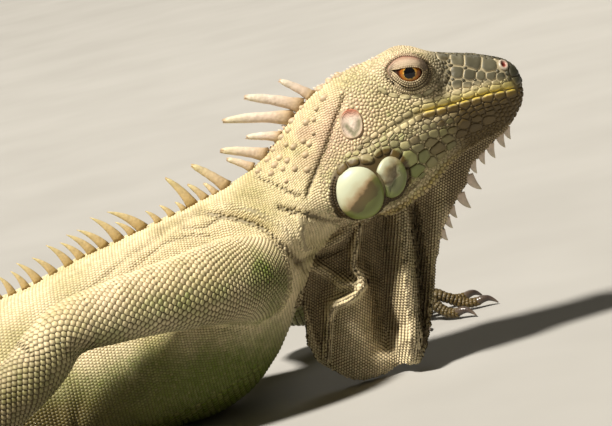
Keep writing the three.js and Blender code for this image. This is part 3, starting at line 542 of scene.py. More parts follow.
def fan_sheet(x, z, side):
    """The sheet at a place in side view, thicker along y where it slants."""
    middle, gx, gz = fan_slopes(x, z)
    thick = DEWLAP_THICKNESS / 2 * np.sqrt(1 + np.minimum(np.hypot(gx, gz), 2.5) ** 2)
    return np.stack([x, middle + side * thick, np.maximum(z, 1.2)], -1)


# ---- meshes ------------------------------------------------------------------------------------------
NO_FACES = np.zeros((0, 3), np.int32)


def make_mesh(name, points, faces=NO_FACES):
    """A mesh object from arrays: points in millimetres, faces of equal corner counts."""
    mesh = bpy.data.meshes.new(name)
    faces = np.ascontiguousarray(faces, np.int32)
    mesh.vertices.add(len(points))
    mesh.vertices.foreach_set("co", (np.asarray(points, float) * MM).astype(np.float32).ravel())
    if len(faces):
        mesh.loops.add(faces.size)
        mesh.loops.foreach_set("vertex_index", faces.ravel())
        mesh.polygons.add(len(faces))
        mesh.polygons.foreach_set("loop_start", np.arange(0, faces.size, faces.shape[1], dtype=np.int32))
    mesh.update(calc_edges=True)
    if len(faces):
        mesh.shade_smooth()
    piece = bpy.data.objects.new(name, mesh)
    bpy.context.scene.collection.objects.link(piece)
    return piece


def grid_quads(rows, cols, wrap):
    """Faces of a grid of points, closed across its columns where it wraps."""
    r, c = np.meshgrid(np.arange(rows - 1), np.arange(cols if wrap else cols - 1), indexing="ij")
    n = (c + 1) % cols
    return np.stack([r * cols + c, r * cols + n, (r + 1) * cols + n, (r + 1) * cols + c], -1).reshape(-1, 4)


def halved(quads):
    """Two triangles for each four-sided face."""
    return np.concatenate([quads[:, [0, 1, 2]], quads[:, [0, 2, 3]]])


def facing_out(points, tris):
    """The triangles of a closed form, turned round if they face inwards."""
    a, b, c = points[tris.T]
    return tris[:, ::-1] if np.einsum("ij,ij->i", a, np.cross(b, c)).sum() < 0 else tris


def closed_tube(rings):
    """Points and triangles of a tube over rings (rows, around, 3), each end shut by a fan."""
    rows, cols = rings.shape[:2]
    points = np.concatenate([rings.reshape(-1, 3), rings[:1].mean(1), rings[-1:].mean(1)])
    first, last = len(points) - 2, len(points) - 1
    c = np.arange(cols)
    n = (c + 1) % cols
    base = (rows - 1) * cols
    caps = np.concatenate([np.stack([n, c, np.full(cols, first)], 1),
                           np.stack([base + c, base + n, np.full(cols, last)], 1)])
    return points, facing_out(points, np.concatenate([halved(grid_quads(rows, cols, True)), caps]))


def joined(parts):
    """Points and faces of several parts as one."""
    offsets = np.cumsum([0] + [len(p) for p, _ in parts[:-1]])
    return (np.concatenate([p for p, _ in parts]),
            np.concatenate([f + o for (_, f), o in zip(parts, offsets)]))


def read(items, channel, width=3, kind=np.float32):
    """One channel of a mesh's vertices, normals, loops or triangles as an array."""
    values = np.empty(len(items) * width, kind)
    items.foreach_get(channel, values)
    return values.reshape(-1, width)


def places_of(mesh):
    """A mesh's vertices in millimetres."""
    return read(mesh.vertices, "co").astype(float) / MM


def evaluated(piece):
    """The places of a piece's vertices with its modifiers applied."""
    final = piece.evaluated_get(bpy.context.evaluated_depsgraph_get())
    places = places_of(final.to_mesh())
    final.to_mesh_clear()
    return places


def wrapped(points, target, method, offsets=(0.0,), **settings):
    """The points as a shrinkwrap moves them onto a target, once for each offset from it."""
    probe = make_mesh("probe", points)
    wrap = probe.modifiers.new("wrap", "SHRINKWRAP")
    wrap.target = target
    wrap.wrap_method = method
    for key, value in settings.items():
        setattr(wrap, key, value)
    moved = []
    for offset in offsets:
        wrap.offset = offset
        moved.append(evaluated(probe))
    bpy.data.meshes.remove(probe.data)
    return moved


def settle(points, skin):
    """The points moved to the skin's nearest places, and the skin's smooth normals there."""
    low, high = wrapped(points, skin, "NEAREST_SURFACEPOINT", (0.0, 0.002), wrap_mode="ABOVE_SURFACE")
    normals = high - low
    normals /= np.maximum(np.linalg.norm(normals, axis=1, keepdims=True), 1e-9)
    return low, normals


def side_on(x, z, sign, skin):
    """The skin's outermost place at x, z on one side; past the outline, a place near the middle."""
    start = np.stack([x, np.full_like(x, 70.0 * sign), z], -1)
    found = wrapped(start, skin, "PROJECT", use_project_y=True, use_negative_direction=sign > 0,
                    use_positive_direction=sign < 0)[0]
    found[np.abs(found[:, 1]) > 69, 1] = 4.0 * sign
    return found


def nearest_corner(points, cloud):
    """Distance from points to the nearest vertex of a cloud."""
    return np.linalg.norm(wrapped(points, cloud, "NEAREST_VERTEX")[0] - points, axis=1)


def skin_triangles(skin):
    """The vertices of the skin, and their numbers for each of its triangles."""
    skin.data.calc_loop_triangles()
    return places_of(skin.data), read(skin.data.loop_triangles, "vertices", kind=np.int32)


def doubled_areas(three):
    """Twice the areas of triangles given by their corners."""
    return np.linalg.norm(np.cross(three[:, 1] - three[:, 0], three[:, 2] - three[:, 0]), axis=1)


def strewn(three, count, seed):
    """Places strewn evenly at random over triangles given by their corners."""
    area = doubled_areas(three)
    rng = np.random.default_rng(seed)
    at = three[rng.choice(len(three), count, p=area / area.sum())]
    a, b = rng.random((2, count, 1))
    a, b = np.where(a + b > 1, 1 - a, a), np.where(a + b > 1, 1 - b, b)
    return at[:, 0] * (1 - a - b) + at[:, 1] * a + at[:, 2] * b


def put_attribute(mesh, name, values, kind="FLOAT"):
    """An attribute with one value, or one vector, for each vertex."""
    layer = mesh.attributes.new(name, kind, "POINT")
    key = "value" if kind == "FLOAT" else "vector"
    layer.data.foreach_set(key, np.ascontiguousarray(values, np.float32).ravel())


def put_map(mesh, places, faces):
    """The OFBake map, from each vertex's place on it."""
    layer = mesh.uv_layers.new(name="OFBake")
    layer.data.foreach_set("uv", places[faces.ravel()].astype(np.float32).ravel())


# ---- colour zones ------------------------------------------------------------------------------------
def noise(points, size, seed=0):
    """Smooth noise from -1 to 1: seeded random values on a lattice of `size`, eased between."""
    table = np.random.default_rng(seed).uniform(-1, 1, (32, 32, 32))
    cell = np.asarray(points, float) / size
    low = np.floor(cell).astype(int)
    t = cell - low
    t = t * t * (3 - 2 * t)
    total = 0.0
    for corner in range(8):
        step = np.array([corner & 1, corner >> 1 & 1, corner >> 2 & 1])
        at = (low + step) % 32
        total = total + table[at[:, 0], at[:, 1], at[:, 2]] * np.prod(np.where(step, t, 1 - t), axis=1)
    return total


def around(points, centre, reach):
    """1 at a centre, falling off as a Gaussian with the given reach along each axis, on both sides."""
    away = points - np.asarray(centre, float)
    away[:, 1] = np.abs(points[:, 1]) - centre[1]
    return np.exp(-np.sum((away / np.asarray(reach, float)) ** 2, axis=1))


def tail_share(points):
    """How far along the tail a point lies, from 0 at the hips to 1 at the tip."""
    return np.interp(-points[:, 0], -PLAN_X, PLAN_D) / TAIL_LENGTH


def ring_share(x, z):
    """1 on the dark ring round the two jowl shields in side view, 0 off it."""
    away = np.minimum(*[(np.hypot((x - cx) / a, (z - cz) / b) - 1) * a
                        for cx, cz, a, b in (SHIELD_RING, FORE_SHIELD[:4])])
    low = 1.3 * ease(SHIELD_RING[1] - z, 0, 12)
    return 1 - ease(np.abs(away - 0.9), 1.6 + low, 2.4 + low)


def fan_painted_light(x, z):
    """Painted light on the throat fan: 1 on its pale ridges, lit strips, lit bulge and lower edge, 0 in its
    hollows, where it is painted darker as shade.
    """
    painted_light = ease(-fan_carried(x, z), 0.5, 7) + 0.85 * (1 - ease(z, 13, 27)) \
        + 0.7 * np.exp(-(((x - 146) / 12) ** 2) - ((z - 31) / 13) ** 2)
    for line, wide in FAN_LIT:
        painted_light = painted_light + 0.95 * bell(line_distance(x, z, line), wide)
    return np.clip(painted_light, 0, 1)


def greenness(points, limb, trunk, fore, blotch, fleck):
    """Share of green: belly and flank, the foreleg and its glints, rump, cheek and the mouth's rim."""
    x, _, z = points.T
    low = 1 - ease(z + 7 * blotch + 3 * fleck, 26, 58)
    green = trunk * low * 0.95 + limb * (1 - ease(z + 8 * blotch, 46, 68)) * ease(x, -30, 50) * 0.55
    glints = around(points, (115, 58, 71), (18, 30, 13)) + around(points, (66, 76, 70), (30, 30, 6))
    green = green + limb * (0.9 * glints + 0.4 * fore * (1 - ease(z + 6 * blotch, 50, 82))) \
        * (0.8 + 0.7 * fleck)
    green = green + 0.35 * (1 - ease(x, -200, -120)) * ease(blotch, -0.2, 0.7)
    cheek, throat = around(points, (188, 24, 92), (34, 20, 22)), around(points, (164, 30, 82), (12, 12, 7))
    return np.clip(green + 0.34 * cheek + 0.5 * throat, 0, 0.92)


def painted_shade_and_ring(points, limb, fan, trunk, fore, blotch, fleck):
    """How dark the hide is painted: painted shade in its folds, under the foreleg, low on the flank by the
    belly and under the jaw's rim; and the dark ring round the shields.
    """
    x, y, z = points.T
    side = np.abs(y)
    crease, ahead = 0 * x, 0.5 + 0.5 * ease(x, 118, 140)
    # Painted shade along the grooves of the skin and of the head.
    for folds, area in ((SKIN_FOLDS, 1 - ease(x, 172, 182)), (HEAD_FOLDS, ease(x, 176, 184))):
        for line, rise, wide in folds:
            if rise < 0:
                near = bell(line_distance(x, z, line), 0.5 + 0.55 * wide)
                crease = crease + near * min(1, -rise / 1.5) * area * (0.8 + 0.45 * fleck) * ahead
    # Painted shade on the lower side of the right upper arm and forearm, and low on the flank, most towards
    # the rear.
    crease = crease + 0.45 * limb * (y < 0) * ease(x, 20, 40) * (1 - ease(x, 90, 110)) \
        * (1 - ease(z + 4 * fleck, 58, 68))
    crease = crease + 1.1 * fore * (1 - ease(z + 4 * blotch, 46, 76)) \
        + (0.6 + 0.85 * (1 - ease(x, 0, 80))) * trunk * (1 - ease(z + 7 * blotch, 28, 54)) * (side > 8)
    crease = crease + 1.7 * ring_share(x, z) * (side > 14)
    # Painted shade in a band under the jaw's rim.
    line = np.interp(x, *np.array(RIM_BEADS).T)
    return crease + 1.1 * ease(line - 1.2 - z, 0, 2.5) * ease(x, 174, 184) * (1 - fan)


def zones(points, limb=0.0, fan=0.0):
    """Shares of each colour at points of the hide: green, dun, slate; gold, band, blush."""
    x, y, z = points.T
    blotch, fleck = noise(points, 26, 3), noise(points, 7, 4)
    trunk = ease(x, -190, -130) * (1 - ease(x, 100, 135)) * (1 - limb)
    fore = limb * (y < 0) * ease(x, -90, -60) * (1 - ease(x, 30, 60))
    green = greenness(points, limb, trunk, fore, blotch, fleck)
    painted_light = fan_painted_light(x, z) if np.any(fan) else 0 * x
    # Painted light and shade on the fan: cream in place of dun where it is lit, and brown that is partly its
    # own colour and partly painted shade, deepest in the hollows.
    dun = np.clip(fan * (1 - 0.95 * painted_light), 0, 1)
    fan_brown_and_shade = fan * (0.42 - 0.7 * painted_light)
    # slate: top and tip of the snout and the toes, and painted shade on the far hand
    snout = ease(x, 204, 220) * ease(z + 0.1 * (x - 230), 126, 132)
    toes = limb * (1 - ease(z, 8, 24)) * 0.85
    # Painted shade: the far hand, on the shaded side, is painted slate.
    painted_shade_far_hand = limb * ease(x, 120, 160) * ease(y, 40, 90)
    slate = np.clip(0.94 * snout + 0.8 * ease(x, 243, 250) + toes + painted_shade_far_hand, 0, 1)
    # gold and green along the lips, gold on the jaw's rim
    above = z - mouth_height(x)
    lip = ease(x, 194, 208) * (1 - ease(x, 246, 251))
    gold = bell(above, 1.0) * lip
    gold = gold + 0.34 * bell(above - 1.5, 2.6) * lip
    green = np.clip(green + 0.3 * bell(above - 2.4, 2.2) * lip, 0, 1)
    gold = np.clip(gold + 0.4 * bell(line_distance(x, z, JAW_RIM), 1.3), 0, 1)
    # brown: the tail's bands; the jaw, its own dark colour with painted shade; painted shade in the folds,
    # under the arm and low on the flank; the dark ring round the shields; nape and brow
    rings = np.sin(2 * np.pi * (tail_share(points) * TAIL_BANDS + 0.25)) + 0.25 * blotch
    band = (1 - ease(x, -176, -150)) * ease(rings, 0.05, 0.55) * 0.85
    # The lower jaw under the mouth's line is partly its own dark olive-brown and partly painted shade, as it
    # faces down away from the light.
    jaw = ease(x, 190, 240) ** 0.7 * (1 - ease(above, -1.7, -0.7)) * (1 - fan)
    jaw = jaw + 0.35 * ease(x, 205, 228) * (1 - ease(above, -4, -2)) * (1 - fan)
    jaw = jaw + 0.8 * np.exp(-(((above + 2.5) / 1.5) ** 4)) * ease(x, 192, 204)
    crease = painted_shade_and_ring(points, limb, fan, trunk, fore, blotch, fleck)
    band = np.clip(band + 0.95 * jaw + 0.62 * crease * (1 - fan) * (np.abs(y) > 8), 0, 1)
    tan = around(points, (142, 16, 124), (26, 34, 24)) * ease(fleck + 0.6 * blotch, -0.5, 0.6)
    brow = around(points, (202, 12, 155), (26, 16, 9)) * (0.65 + 0.5 * fleck)
    band = np.clip(band + 0.22 * tan + 0.26 * brow, 0, 1)
    # blush: round the ear drum, on the nape, the legs and the lids
    nape = 0.55 * around(points, (146, 16, 128), (22, 30, 20)) * ease(fleck + 0.6 * blotch, -0.5, 0.5)
    blush = 0.5 * around(points, (168, 22, 126), (14, 10, 15)) + nape + 0.15 * limb * ease(z, 50, 84)
    blush = np.clip(blush + 0.45 * around(points, (201, 20, 147), (11, 12, 8)), 0, 1)
    fade = 1 - np.maximum(fan, 0)
    return (np.stack([green * fade, dun, slate * fade], -1),
            np.stack([gold * fade, np.clip(band * fade + fan_brown_and_shade, 0, 1), blush * fade], -1))


# ---- scales --------------------------------------------------------------------------------------------
SCALE_ON_MAP, PLATE_ON_MAP = 0.0015, 0.0013  # half the size of a scale and a plate on the OFBake map


def lay_scales(name, roots, normals, lie, outline, height, uv, limb=0.0, fan=0.0, lift=0.5,
               tone=0.12, seed=1, sink=0.4, shrink=0.78, dark=0.8, extra=None, vary=0.06):
    """One joined mesh of scales. Each is a ring sunk in the skin, a smaller raised ring and a crown:
    root + a*lie + b*across + h*normal, with (a, b) from its outline and h growing towards the rear."""
    n, m = outline.shape[:2]
    lie = laid(lie, normals)
    across = np.cross(normals, lie)
    reach = np.abs(outline[..., 0]).max(axis=1)[:, None]
    height = np.broadcast_to(np.asarray(height, float), (n,))[:, None]
    lift = np.broadcast_to(np.asarray(lift, float), (n,))[:, None]

    def ring(scale, level):
        a, b = outline[..., 0] * scale, outline[..., 1] * scale
        h = level(outline[..., 0] / reach)
        return roots[:, None] + lie[:, None] * a[..., None] + across[:, None] * b[..., None] \
            + normals[:, None] * h[..., None]

    base = ring(0.985, lambda s: -sink + 0 * s)
    top = ring(shrink, lambda s: height * (0.72 - lift * 0.34 + lift * 0.5 * s))
    crown = roots + normals * height * (1 - 0.12 * lift) + lie * reach * 0.12 * lift
    points = np.concatenate([base, top, crown[:, None]], axis=1)
    points[..., 2] = np.maximum(points[..., 2], 0.05)
    k = np.arange(m)
    nx = (k + 1) % m
    faces = np.concatenate([np.stack([k, nx, nx + m], 1), np.stack([k, nx + m, k + m], 1),
                            np.stack([k + m, nx + m, np.full(m, 2 * m)], 1)])
    count = 2 * m + 1
    faces = (faces[None] + (np.arange(n) * count)[:, None, None]).reshape(-1, 3)
    piece = make_mesh(name, points.reshape(-1, 3), faces)
    mesh = piece.data
    one, two = zones(roots, limb, fan)
    if extra is not None:
        one, two = extra(roots, one, two)
    drift = np.random.default_rng(seed + 50).normal(0, vary, (2, n))
    one[:, 0] = np.clip(one[:, 0] + drift[0], 0, 1)
    two[:, 2] = np.clip(two[:, 2] + drift[1], 0, 1)
    put_attribute(mesh, "zone_a", np.repeat(one, count, axis=0), "FLOAT_VECTOR")
    put_attribute(mesh, "zone_b", np.repeat(two, count, axis=0), "FLOAT_VECTOR")
    shade = 1 + tone * np.random.default_rng(seed).normal(0, 1, n).clip(-2, 2)
    shade = shade - 1.3 * ring_share(roots[:, 0], roots[:, 2]) * (np.abs(roots[:, 1]) > 14)
    put_attribute(mesh, "tone", np.repeat(shade, count))
    cheek = around(roots, (186, 24, 126), (26, 22, 22)) * (1 - limb)
    dark = np.broadcast_to(dark, (n,)) * (1 - 0.6 * limb * ease(roots[:, 2], 62, 84)) * (1 - 0.45 * cheek)
    put_attribute(mesh, "edge", (np.r_[np.ones(m), np.full(m, 0.22), 0.0] * dark[:, None]).ravel())
    spread = np.concatenate([outline, outline * shrink, np.zeros((n, 1, 2))], axis=1)
    spread = spread / np.maximum(np.abs(outline).max(axis=(1, 2)), 1e-6)[:, None, None]
    put_map(mesh, (uv[:, None] + spread * SCALE_ON_MAP).reshape(-1, 2), faces)
    mesh.materials.append(bpy.data.materials["scaled_hide"])
    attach(piece, "root")


def brick_outline(n, along, across):
    """Six-sided cells of a brick lattice with rows `along` apart and neighbours `across` apart."""
    s = np.broadcast_to(np.asarray(along, float), (n,))
    w = np.broadcast_to(np.asarray(across, float), (n,))
    far, near = s / 2 + w * w / (8 * s), s / 2 - w * w / (8 * s)
    zero = np.zeros(n)
    return np.stack([np.stack([far, zero], 1), np.stack([near, w / 2], 1), np.stack([-near, w / 2], 1),
                     np.stack([-far, zero], 1), np.stack([-near, -w / 2], 1),
                     np.stack([near, -w / 2], 1)], axis=1)


def ring_lattice(surface, stops, width, low=0.0, high=1.0, samples=180):
    """Roots in staggered rings: on each ring round(girth / width) of them, spaced evenly by length
    between the turns low and high. Returns each root's stop, its turn and the true spacing."""
    turns = np.linspace(low, high, samples)
    alongs, places, gaps = [], [], []
    for i, stop in enumerate(stops):
        run = run_along(surface(np.full(samples, stop), turns))
        count = max(3, int(round(run[-1] / width(stop) / 2)) * 2)
        at = (np.arange(count) + 0.5 * (i % 2) + 0.25) / count * run[-1]
        alongs.append(np.full(count, stop))
        places.append(np.interp(at, run, turns))
        gaps.append(np.full(count, run[-1] / count))
    return np.concatenate(alongs), np.concatenate(places), np.concatenate(gaps)


def stepped(start, stop, step):
    """Stops from start to stop, each a step(stop) on from the one before."""
    stops = [start]
    way = 1 if stop > start else -1
    while way * (stop - stops[-1]) > 0:
        stops.append(stops[-1] + way * step(stops[-1]))
    return np.array(stops[:-1])


CLAD_STEP = 0.6  # how far along a surface the direction of its scales is measured


def clad(surface, stops, width, row, skin, height, low=0.0, high=1.0, limb=0.0, lift=0.6,
         seed=1, uv_box=(0, 1, 0, 1), way=-1.0, keep=None, reach=1.3, dark=0.7):
    """A ring lattice of scales laid over a surface, with the rows `row` apart. A root is left out
    where the skin is further than `reach` from the surface."""
    along, turn, gap = ring_lattice(surface, stops, width, low, high)
    points = surface(along, turn)
    ahead = surface(along + CLAD_STEP * way, turn) - points
    roots, normals = settle(points, skin)
    good = np.linalg.norm(roots - points, axis=1) < reach
    if keep is not None:
        good &= keep(roots)
    u0, u1, v0, v1 = uv_box
    span = max(abs(stops[-1] - stops[0]), 1e-6)
    uv = np.stack([u0 + (u1 - u0) * (0.01 + 0.98 * np.abs(along - stops[0]) / span),
                   v0 + (v1 - v0) * (0.01 + 0.98 * (turn % 1))], 1)
    rows = np.array([row(a) for a in stops])
    order = np.argsort(stops)
    s = np.interp(along, stops[order], rows[order]) * np.linalg.norm(ahead, axis=1) / CLAD_STEP
    return dict(roots=roots[good], normals=normals[good], lie=ahead[good],
                outline=brick_outline(int(good.sum()), s[good], gap[good]), uv=uv[good],
                height=height, limb=limb, lift=lift, seed=seed, dark=dark)


def lay(batches, name, **more):
    """Several ring lattices as one piece."""
    n = [len(b["roots"]) for b in batches]
    join = {key: np.concatenate([b[key] for b in batches]) for key in
            ("roots", "normals", "lie", "outline", "uv")}
    spread = {key: np.concatenate([np.full(c, b[key], float) for c, b in zip(n, batches)])
              for key in ("height", "lift", "limb", "dark")}
    lay_scales(name, join["roots"], join["normals"], join["lie"], join["outline"], spread["height"],
               join["uv"], spread["limb"], lift=spread["lift"], dark=spread["dark"],
               seed=batches[0]["seed"], **more)


# ---- head mosaic -----------------------------------------------------------------------------------------
# Plates of the head in side view: x, z, half-length, half-height, turn in degrees, height.
PLATES = [
    (224.8, 142.8, 2.9, 2.9, -15, 0.6), (231.7, 140.5, 4.1, 3.8, -22, 0.7),
    (238.5, 137.3, 3.2, 3.6, -12, 0.6),
    (218.6, 146.6, 2.7, 2.2, -16, 0.5), (231, 146, 2.8, 1.5, -22, 0.5), (237, 143.2, 2.6, 1.6, -26, 0.5),
    (242, 140.4, 2.2, 1.8, -30, 0.5), (222.9, 137.4, 2.6, 2.5, -8, 0.5), (228.6, 134.9, 2.9, 2.2, -4, 0.5),
    (233.6, 133.2, 2.3, 1.9, 4, 0.5), (238.3, 131.9, 2.5, 1.8, 4, 0.5),
    (221.6, 132, 2.2, 1.7, 0, 0.5), (226, 130.4, 2.3, 1.4, 4, 0.4),
    (242.6, 130.4, 2, 1.6, 4, 0.4), (249.9, 131, 2.1, 2.9, 0, 0.6), (249.8, 126.6, 2, 1.9, 0, 0.5),
    (231, 129.8, 2.2, 1.2, 4, 0.4), (236, 129, 2.2, 1.1, 4, 0.4),
    (159.6, 106.6, 2.9, 1.6, 38, 0.9), (165.3, 108.9, 3.0, 1.7, 8, 0.9), (171.4, 108.6, 3.0, 1.8, -6, 0.9),
    (163.8, 112.4, 1.5, 1, 30, 0.6), (167.6, 112.3, 1.7, 1, 14, 0.6), (171.3, 112.4, 1.9, 1, 8, 0.6),
    (175.2, 112.7, 1.9, 1.1, 14, 0.6), (169.7, 114.5, 1.5, 0.9, 20, 0.6), (173.4, 114.9, 1.7, 0.9, 22, 0.6),
    (177.6, 110.1, 2, 1.5, 20, 0.7), (177.4, 115.2, 1.9, 1, 24, 0.6), (181.6, 110.6, 2.3, 1.6, 10, 0.7),
    (181.7, 113.9, 2, 1.2, 24, 0.6), (186.2, 112.4, 2.4, 1.5, 14, 0.7), (185.8, 107.6, 2.6, 2.2, 0, 0.8),
    (190.8, 110.4, 2.6, 1.6, 0, 0.8), (191, 103.4, 4.9, 3.6, -6, 1.0), (198.4, 102.4, 3.2, 3.0, 10, 0.9),
    (193.3, 96.6, 4.1, 3.1, 20, 1.0), (206, 104.2, 4.2, 2.8, 14, 0.9), (201.9, 98.4, 2.6, 2.6, 20, 0.8),
    (196.3, 107.6, 3.1, 1.8, -4, 0.8), (203.4, 108.6, 3.6, 1.9, 4, 0.8), (211.4, 107.8, 3.3, 1.8, 8, 0.7),
    (195.6, 111.6, 2.5, 1.5, 0, 0.7), (200.4, 112, 2.3, 1.4, 0, 0.7), (205.2, 112.2, 2.6, 1.7, 2, 0.7),
    (209.9, 111.8, 2.0, 1.5, 0, 0.7), (214.6, 111.2, 2.6, 1.5, 4, 0.6), (220.4, 113, 3.1, 2.3, 6, 0.8),
    (190.4, 114.2, 2.1, 1.2, 10, 0.6), (186.2, 115.6, 1.9, 1, 20, 0.5), (218.4, 108.6, 3, 1.7, 10, 0.6),
    (225.6, 109.6, 3.2, 1.9, 8, 0.6), (227.2, 113.6, 2.7, 1.5, 4, 0.5), (232.8, 111.4, 2.9, 1.9, 6, 0.5),
    (234.2, 115.2, 2.7, 1.4, 4, 0.5), (188.6, 97, 1.6, 2.4, 10, 0.7), (206.8, 100.4, 2.4, 1.6, 28, 0.6),
    (212.4, 103.8, 2.6, 1.5, 22, 0.6), (189.8, 92.4, 1.6, 1.3, 30, 0.6), (195.9, 92.9, 1.6, 1.2, 30, 0.5),
]
# Rows of plates along the mouth: offset from its line, half-length, half-height, height, first and last x.
LIP_ROWS = [(1.75, 3.3, 1.5, 0.5, 249, 170), (-2.35, 2.9, 1.75, 0.5, 249, 172),
            (4.3, 2.4, 0.95, 0.4, 242, 184), (-5.2, 2.1, 1.05, 0.45, 244, 184),
            (-7.5, 2, 1.15, 0.45, 240, 188)]
# The line of the narrow plates under the eye, and the places of the nape's tubercles.
SUBORBITAL = [(184.4, 139.4), (188.4, 135.6), (193.2, 133.2), (198.6, 131.6), (204.2, 131.2), (209.6, 132.4)]
TUBERCLES = [(132, 116.3), (132.4, 111.1), (126.4, 110), (139.5, 120.3), (144.9, 122.2), (144.2, 116),
             (134.6, 125.4), (148.1, 130.3), (154.2, 135.2), (138.9, 127.4), (137.9, 110.5), (132.6, 105.6),
             (150.3, 124.8), (126.2, 116.2), (158.6, 139.6), (143.4, 109.4), (147.6, 136.8), (120.6, 112),
             (136.6, 121.6), (129.6, 120.6), (151.9, 130.9), (162.6, 147), (140.2, 133.2), (167, 151.6),
             (157.2, 145.4), (128.8, 113.4), (135.4, 114.6), (147.2, 120.4)]


def superellipse(count, power):
    """Directions round a rounded box: |a|^p + |b|^p = 1."""
    angle = 2 * np.pi * (np.arange(count) + 0.5) / count
    c, s = np.cos(angle), np.sin(angle)
    size = (np.abs(c) ** power + np.abs(s) ** power) ** (-1 / power)
    return np.stack([c * size, s * size], -1)


LEAST_PLATE, LEAST_CELL = 0.4, 0.25  # how far a plate and a small scale reach at least


def plate_cells(plates, count=20, grow=1.32, gap=0.2, power=2.6):
    """Side-view outlines of plates that meet: in each direction a rounded box's reach times `grow`,
    cut by the lines to the neighbours that share each way by the two plates' reaches along it."""
    x, z, a, b, turn = np.array([p[:5] for p in plates], float).T
    turn = np.radians(turn)

    def reach(a, b, turn, angle):
        return (np.abs(np.cos(angle - turn) / a) ** power + np.abs(np.sin(angle - turn) / b) ** power) \
            ** (-1 / power)

    angle = 2 * np.pi * np.arange(count) / count
    dx, dz = x[None] - x[:, None], z[None] - z[:, None]
    way = np.arctan2(dz, dx)
    own = reach(a[:, None], b[:, None], turn[:, None], way)
    other = reach(a[None], b[None], turn[None], way)
    cosine = np.cos(angle[None, None] - way[..., None])
    limit = np.where((cosine > 0.15) & (np.hypot(dx, dz) > 0.1)[..., None],
                     (np.hypot(dx, dz) * own / (own + other))[..., None] / np.maximum(cosine, 0.1), 1e9)
    out = grow * reach(a[:, None], b[:, None], turn[:, None], angle[None])
    out = np.maximum(np.minimum(out, limit.min(axis=1)) - gap, LEAST_PLATE)
    return np.stack([out * np.cos(angle), out * np.sin(angle)], -1)


def moulded(plates, offsets, sign, skin, profile):
    """Rings of plates on the skin: at each (share, height) of the profile the side-view outline times
    the share, projected on the skin and raised by the height along its normal."""
    middle = np.array([p[:2] for p in plates], float)[:, None, None]
    shares = np.array([share for share, _ in profile])
    at = middle + offsets[:, None] * shares[None, :, None, None]
    return raised(side_on(at[..., 0].ravel(), at[..., 1].ravel(), sign, skin), skin, profile, at.shape[:3])


def raised(places, skin, profile, shape):
    """Places of n plates, r rings and m corners settled on the skin, each ring raised by its height."""
    low, normals = settle(places, skin)
    heights = np.stack([np.broadcast_to(height, shape[:1]) for _, height in profile], 1)
    return (low + normals * np.broadcast_to(heights[:, :, None], shape).reshape(-1, 1)).reshape(*shape, 3)


def dome_rings(x, z, half, turn, sign, skin, profile, shape):
    """Rings of one dome moulded to the skin: at each (share, height) of the profile the shape times
    the share, about the place x, z in side view, raised by the height along the skin's normal."""
    centre, normal = settle(side_on(np.array([x]), np.array([z]), sign, skin), skin)
    turn = np.radians([turn])
    ahead = laid(np.stack([np.cos(turn), 0 * turn, np.sin(turn)], -1), normal)
    up = np.cross(normal, ahead) * -sign
    flat = shape[None] * np.array([share for share, _ in profile])[:, None, None]
    at = centre + ahead * (half[0] * flat[..., :1]) + up * (half[1] * flat[..., 1:])
    return raised(at.reshape(-1, 3), skin, profile, (1, *flat.shape[:2]))


def dome_piece(name, rings, material, attributes, uv=None):
    """Domes from their rings, each closed at the top by a fan of faces round the last ring's middle."""
    n, r, m = rings.shape[:3]
    crown = rings[:, -1].mean(axis=1, keepdims=True)
    floor = rings[:, 0].mean(axis=1, keepdims=True)
    points = np.concatenate([rings.reshape(n, r * m, 3), crown, floor], axis=1)
    k = np.arange(m)
    nx = (k + 1) % m
    strips = [np.stack([i * m + k, i * m + nx, (i + 1) * m + nx], 1) for i in range(r - 1)]
    strips += [np.stack([i * m + k, (i + 1) * m + nx, (i + 1) * m + k], 1) for i in range(r - 1)]
    strips.append(np.stack([(r - 1) * m + k, (r - 1) * m + nx, np.full(m, r * m)], 1))
    strips.append(np.stack([nx, k, np.full(m, r * m + 1)], 1))
    faces = facing_out(points[0], np.concatenate(strips))
    count = points.shape[1]
    faces = (faces[None] + (np.arange(n) * count)[:, None, None]).reshape(-1, 3)
    piece = make_mesh(name, points.reshape(-1, 3), faces)
    for key, values in attributes.items():
        put_attribute(piece.data, key, values, "FLOAT_VECTOR" if values.ndim == 3 else "FLOAT")
    if uv is not None:
        put_map(piece.data, uv.reshape(-1, 2), faces)
    piece.data.materials.append(bpy.data.materials[material])
    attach(piece, "root")
    return piece


PACKING = 0.8  # least spacing of neighbouring small scales, as a share of the sum of their radii


def scattered(places, radii, seed, strips=12):
    """Which places to keep, the biggest first, so that none lies nearer another than the sum of
    their radii. Strip by strip along x, rounds of keeping each place that no earlier one reaches."""
    order = np.argsort(-radii + 0.35 * np.random.default_rng(seed).random(len(radii)))
    p, r = places[order].astype(np.float32), radii[order].astype(np.float32)
    strip = np.digitize(p[:, 0], np.quantile(p[:, 0], np.arange(1, strips) / strips))

    def close(a, b):
        square = (p[a] ** 2).sum(1)[:, None] + (p[b] ** 2).sum(1)[None] - 2 * p[a] @ p[b].T
        return square < ((r[a][:, None] + r[b][None]) * PACKING) ** 2

    kept = np.zeros(len(p), bool)
    for number in range(strips):
        own = np.flatnonzero(strip == number)
        done = np.flatnonzero(kept)
        if len(done):
            own = own[~close(own, done).any(axis=1)]
        near = close(own, own)
        np.fill_diagonal(near, False)
        earlier = np.tril(near)
        alive = np.ones(len(own), bool)
        while alive.any():
            new = alive & ~earlier[:, alive].any(axis=1)
            kept[own[new]] = True
            alive &= ~new
            alive &= ~near[:, new].any(axis=1)
    return order[kept]


NEIGHBOURS = 16  # how many of the nearest seeds may cut a cell


